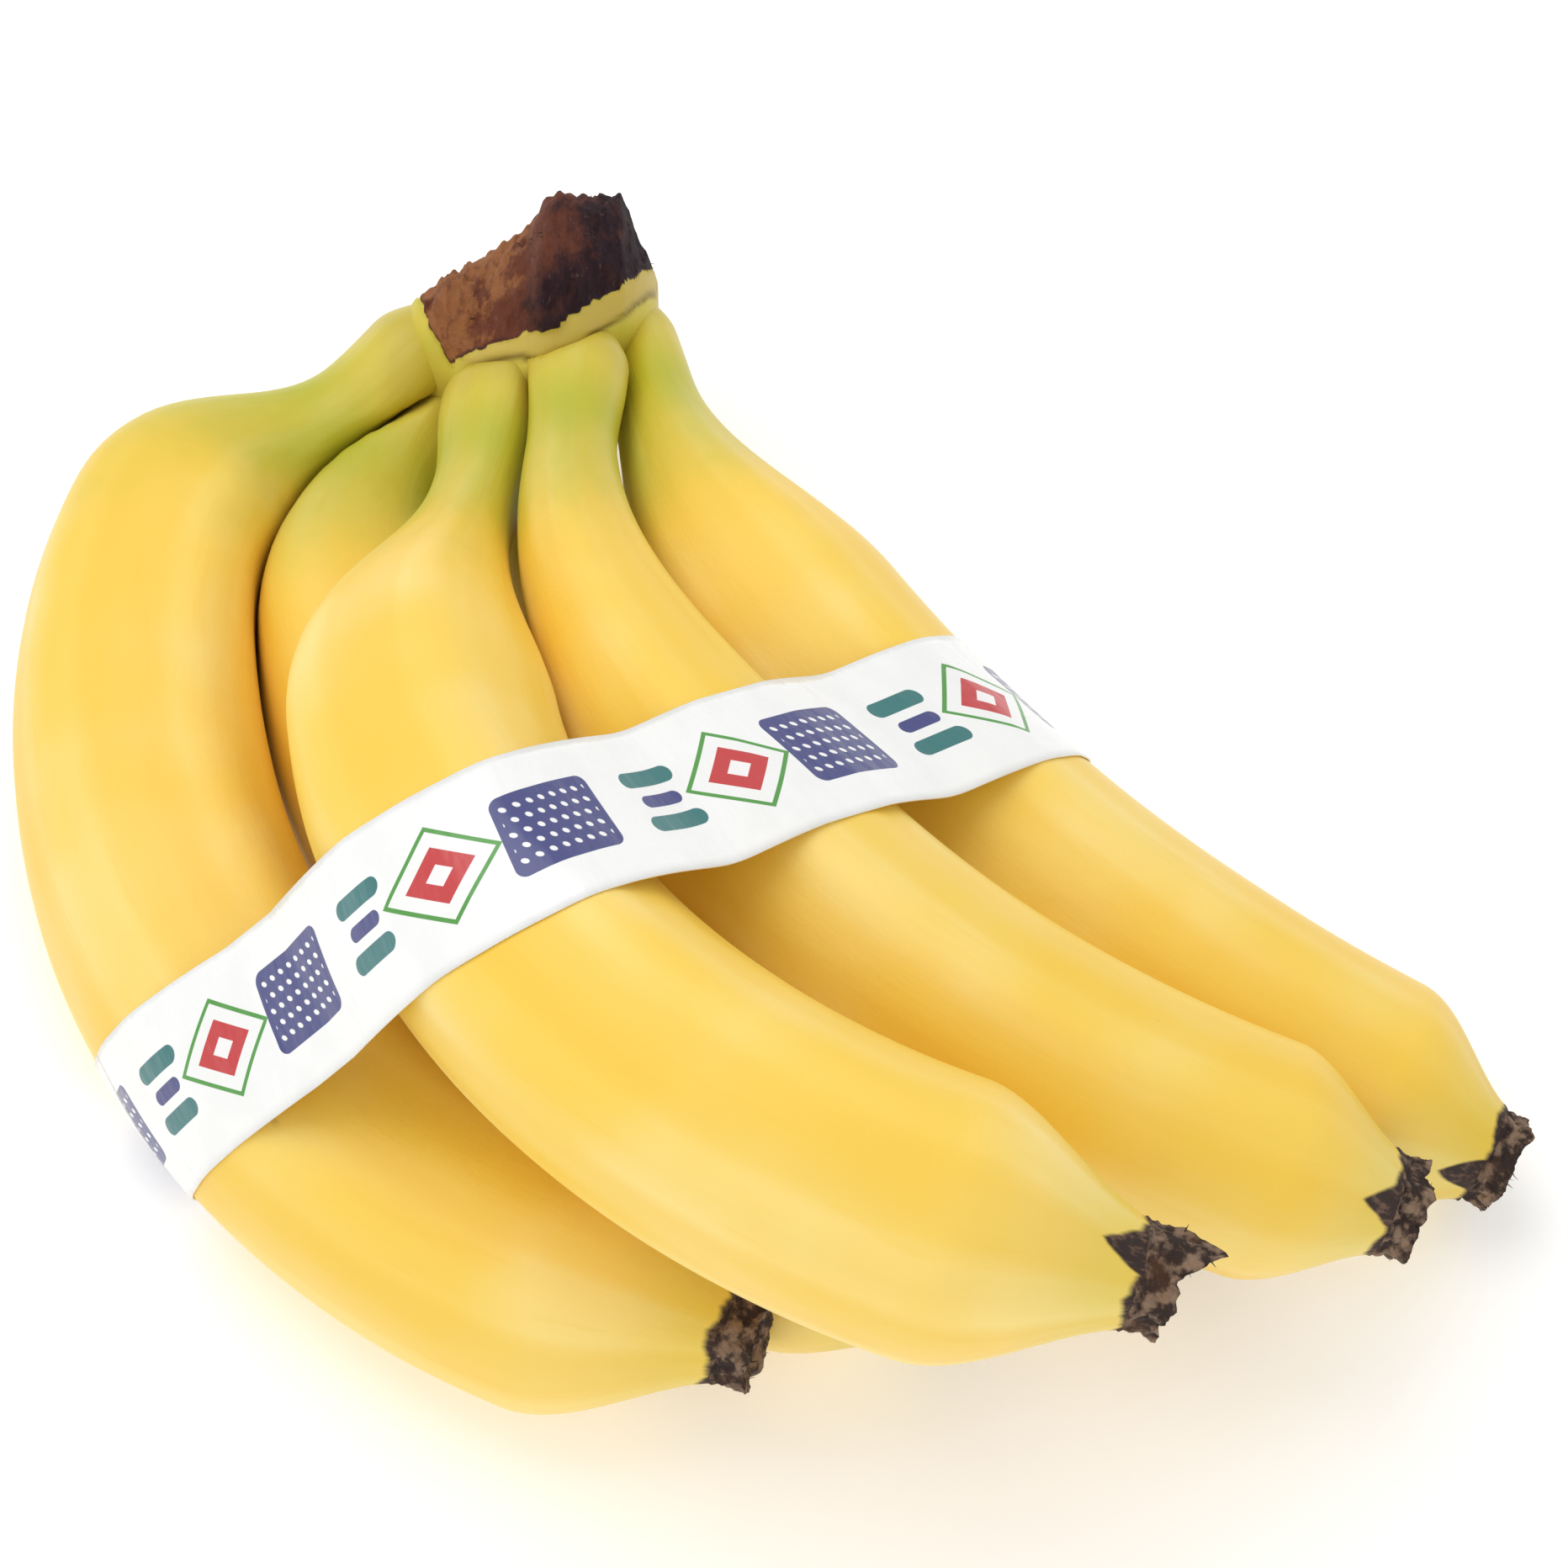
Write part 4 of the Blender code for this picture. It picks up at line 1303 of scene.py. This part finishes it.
class BUNCH_OT_band(bpy.types.Operator):
    """Winds the paper band round all the fruits"""
    bl_idname = "bunch.band"
    bl_label = "Paper band"

    def execute(self, context):
        settings = context.scene.banana_bunch.band
        material = band_material(settings)
        width = settings.width / MM
        normal = unit(BAND_NORMAL)
        across = unit(np.cross(np.array([0.0, 0.0, 1.0]), normal))
        upward = np.cross(normal, across)
        planes = np.linspace(-0.5, 0.5, BAND_ROWS)
        outlines = [crossing(BAND_OFFSET + width * part, normal, across, upward)
                    for part in planes]
        middle_outline = outlines[BAND_ROWS // 2]
        middle = np.mean(middle_outline, axis=0)
        ring = np.array(grown(middle_outline, settings.clearance / MM))
        steps = np.linalg.norm(np.roll(ring, -1, axis=0) - ring, axis=1)
        run = np.append(0.0, np.cumsum(steps))
        target = run[-1] * np.arange(BAND_POINTS) / BAND_POINTS
        closed = np.vstack([ring, ring[:1]])
        spots = np.stack([np.interp(target, run, closed[:, column]) for column in (0, 1)], 1)
        angle = np.arctan2(spots[:, 1] - middle[1], spots[:, 0] - middle[0])
        rows, prints = [], []
        for part, outline in zip(planes, outlines):
            near = grown(outline, settings.clearance / MM)
            flat = along_ray(near, middle, angle)
            place = normal * (BAND_OFFSET + width * part)
            spot = place + flat[:, :1] * across + flat[:, 1:] * upward
            rows.append(to_part(spot))
            prints.append(np.stack([target, np.full(BAND_POINTS, width * (part + 0.5)),
                                    np.zeros(BAND_POINTS)], axis=1))
        rows = np.array(rows)
        lengthwise = np.roll(rows, -1, axis=1) - np.roll(rows, 1, axis=1)
        out = np.cross(lengthwise, np.gradient(rows, axis=0))
        out /= np.linalg.norm(out, axis=2, keepdims=True)
        centre = rows.mean(axis=(0, 1))
        if np.sum(out * (rows - centre)) < 0:
            out = -out
        room = np.min([reach(rows, name) for name in FRUITS], axis=0)
        for _ in range(12):
            room = eased(room)
        rows = rows - out * (settings.sag * np.clip(room - 1.0, 0.0, 9.0))[..., None]
        outer = rows + out * settings.thickness / MM
        skins = [rows, outer[::-1]]
        points = np.vstack([skin.reshape(-1, 3) for skin in skins])
        marks = np.vstack([np.vstack(prints), np.vstack(prints[::-1])])
        total = 2 * BAND_ROWS
        faces = []
        for index in range(total):
            faces += quads(index * BAND_POINTS, (index + 1) % total * BAND_POINTS, BAND_POINTS)
        mesh = plain_mesh("printed_band", points, faces, material)
        store(mesh, "print", marks)
        add_piece("printed_band", mesh, "paper_band")
        return {"FINISHED"}


# ---------------------------------------------------------------- stage


def lamp(name, layout, size, power):
    """A large soft lamp that looks at the bunch from a place in the layout."""
    place, aim = [Vector(to_part(point) * MM) for point in (layout, LAMP_AIM)]
    data = bpy.data.lights.new(name, "AREA")
    data.shape = "DISK"
    data.size = size
    data.energy = power
    item = add_object(name, data)
    item.location = place
    item.rotation_euler = (place - aim).to_track_quat("Z", "Y").to_euler()


class BUNCH_OT_stage(bpy.types.Operator):
    """Adds the pale floor, the soft lamps, the surroundings and the camera"""
    bl_idname = "bunch.stage"
    bl_label = "Stage"

    def execute(self, context):
        settings = context.scene.banana_bunch.stage
        material, kit, shader = new_material("pale_floor", {
            "Roughness": 0.6, "Specular IOR Level": 0.1, "Emission Color": WHITE,
            "Emission Strength": settings.glow})
        spot = kit.value("ShaderNodeTexCoord", None, None, 3)
        shade = kit.mix(kit.noise(spot, 3.0, 2.0), *FLOOR_TINTS)
        feed(kit, shader, colour=shade)
        corners = [(-1, -1), (1, -1), (1, 1), (-1, 1)]
        mesh = bare_mesh("floor", [(FLOOR_HALF * x, FLOOR_HALF * y, 0.0) for x, y in corners],
                         [(0, 1, 2, 3)])
        mesh.materials.append(material)
        add_object("floor", mesh)
        world = bpy.data.worlds.new("white_surroundings")
        world.use_nodes = True
        sky = world.node_tree.nodes["Background"]
        sky.inputs["Color"].default_value = WHITE
        sky.inputs["Strength"].default_value = settings.sky
        context.scene.world = world
        context.scene.view_settings.view_transform = "Standard"
        context.scene.view_settings.look = "None"

        lamp("overhead_lamp", OVERHEAD_LAMP, 0.9, settings.key)
        lamp("front_lamp", FRONT_LAMP, 0.8, settings.fill)
        right = AXES @ np.array([1.0, 0.0, 0.0])
        up = AXES @ VIEW_UP
        back = AXES @ -VIEW_AWAY
        eye = (to_part(CAMERA_TARGET) + CAMERA_DISTANCE * back) * MM
        data = bpy.data.cameras.new("camera")
        data.lens = settings.lens
        data.sensor_width = 36.0
        data.clip_start = 0.01
        camera = add_object("camera", data)
        matrix = np.eye(4)
        matrix[:3, :4] = np.stack([right, up, back, eye], axis=1)
        camera.matrix_world = Matrix(matrix.tolist())
        context.scene.camera = camera
        return {"FINISHED"}


# ---------------------------------------------------------------- panel and run


STEPS_OF_THE_BUNCH = (BUNCH_OT_fruits, BUNCH_OT_ends, BUNCH_OT_crown, BUNCH_OT_band,
                      BUNCH_OT_stage)


class BUNCH_PT_panel(bpy.types.Panel):
    """Lists the steps of the bunch and their sizes"""
    bl_idname = "BUNCH_PT_panel"
    bl_label = "Banana bunch"
    bl_space_type = "VIEW_3D"
    bl_region_type = "UI"
    bl_category = "Bananas"

    def draw(self, context):
        for step in STEPS_OF_THE_BUNCH:
            self.layout.operator(step.bl_idname)
        settings = context.scene.banana_bunch
        for group in ("peel", "ends", "crown", "band", "stage"):
            box = self.layout.box()
            box.label(text=group.capitalize())
            part = getattr(settings, group)
            for name in part.bl_rna.properties.keys():
                if name not in ("rna_type", "name"):
                    box.prop(part, name)


CLASSES = (PeelSettings, EndSettings, CrownSettings, BandSettings, StageSettings,
           BunchSettings, *STEPS_OF_THE_BUNCH, BUNCH_PT_panel)


def register():
    for item in CLASSES:
        bpy.utils.register_class(item)
    bpy.types.Scene.banana_bunch = PointerProperty(type=BunchSettings)


def unregister():
    del bpy.types.Scene.banana_bunch
    for item in reversed(CLASSES):
        bpy.utils.unregister_class(item)


def main():
    register()
    bpy.ops.bunch.fruits()
    bpy.ops.bunch.ends()
    bpy.ops.bunch.crown()
    bpy.ops.bunch.band()
    bpy.ops.bunch.stage()


if __name__ == "__main__":
    main()
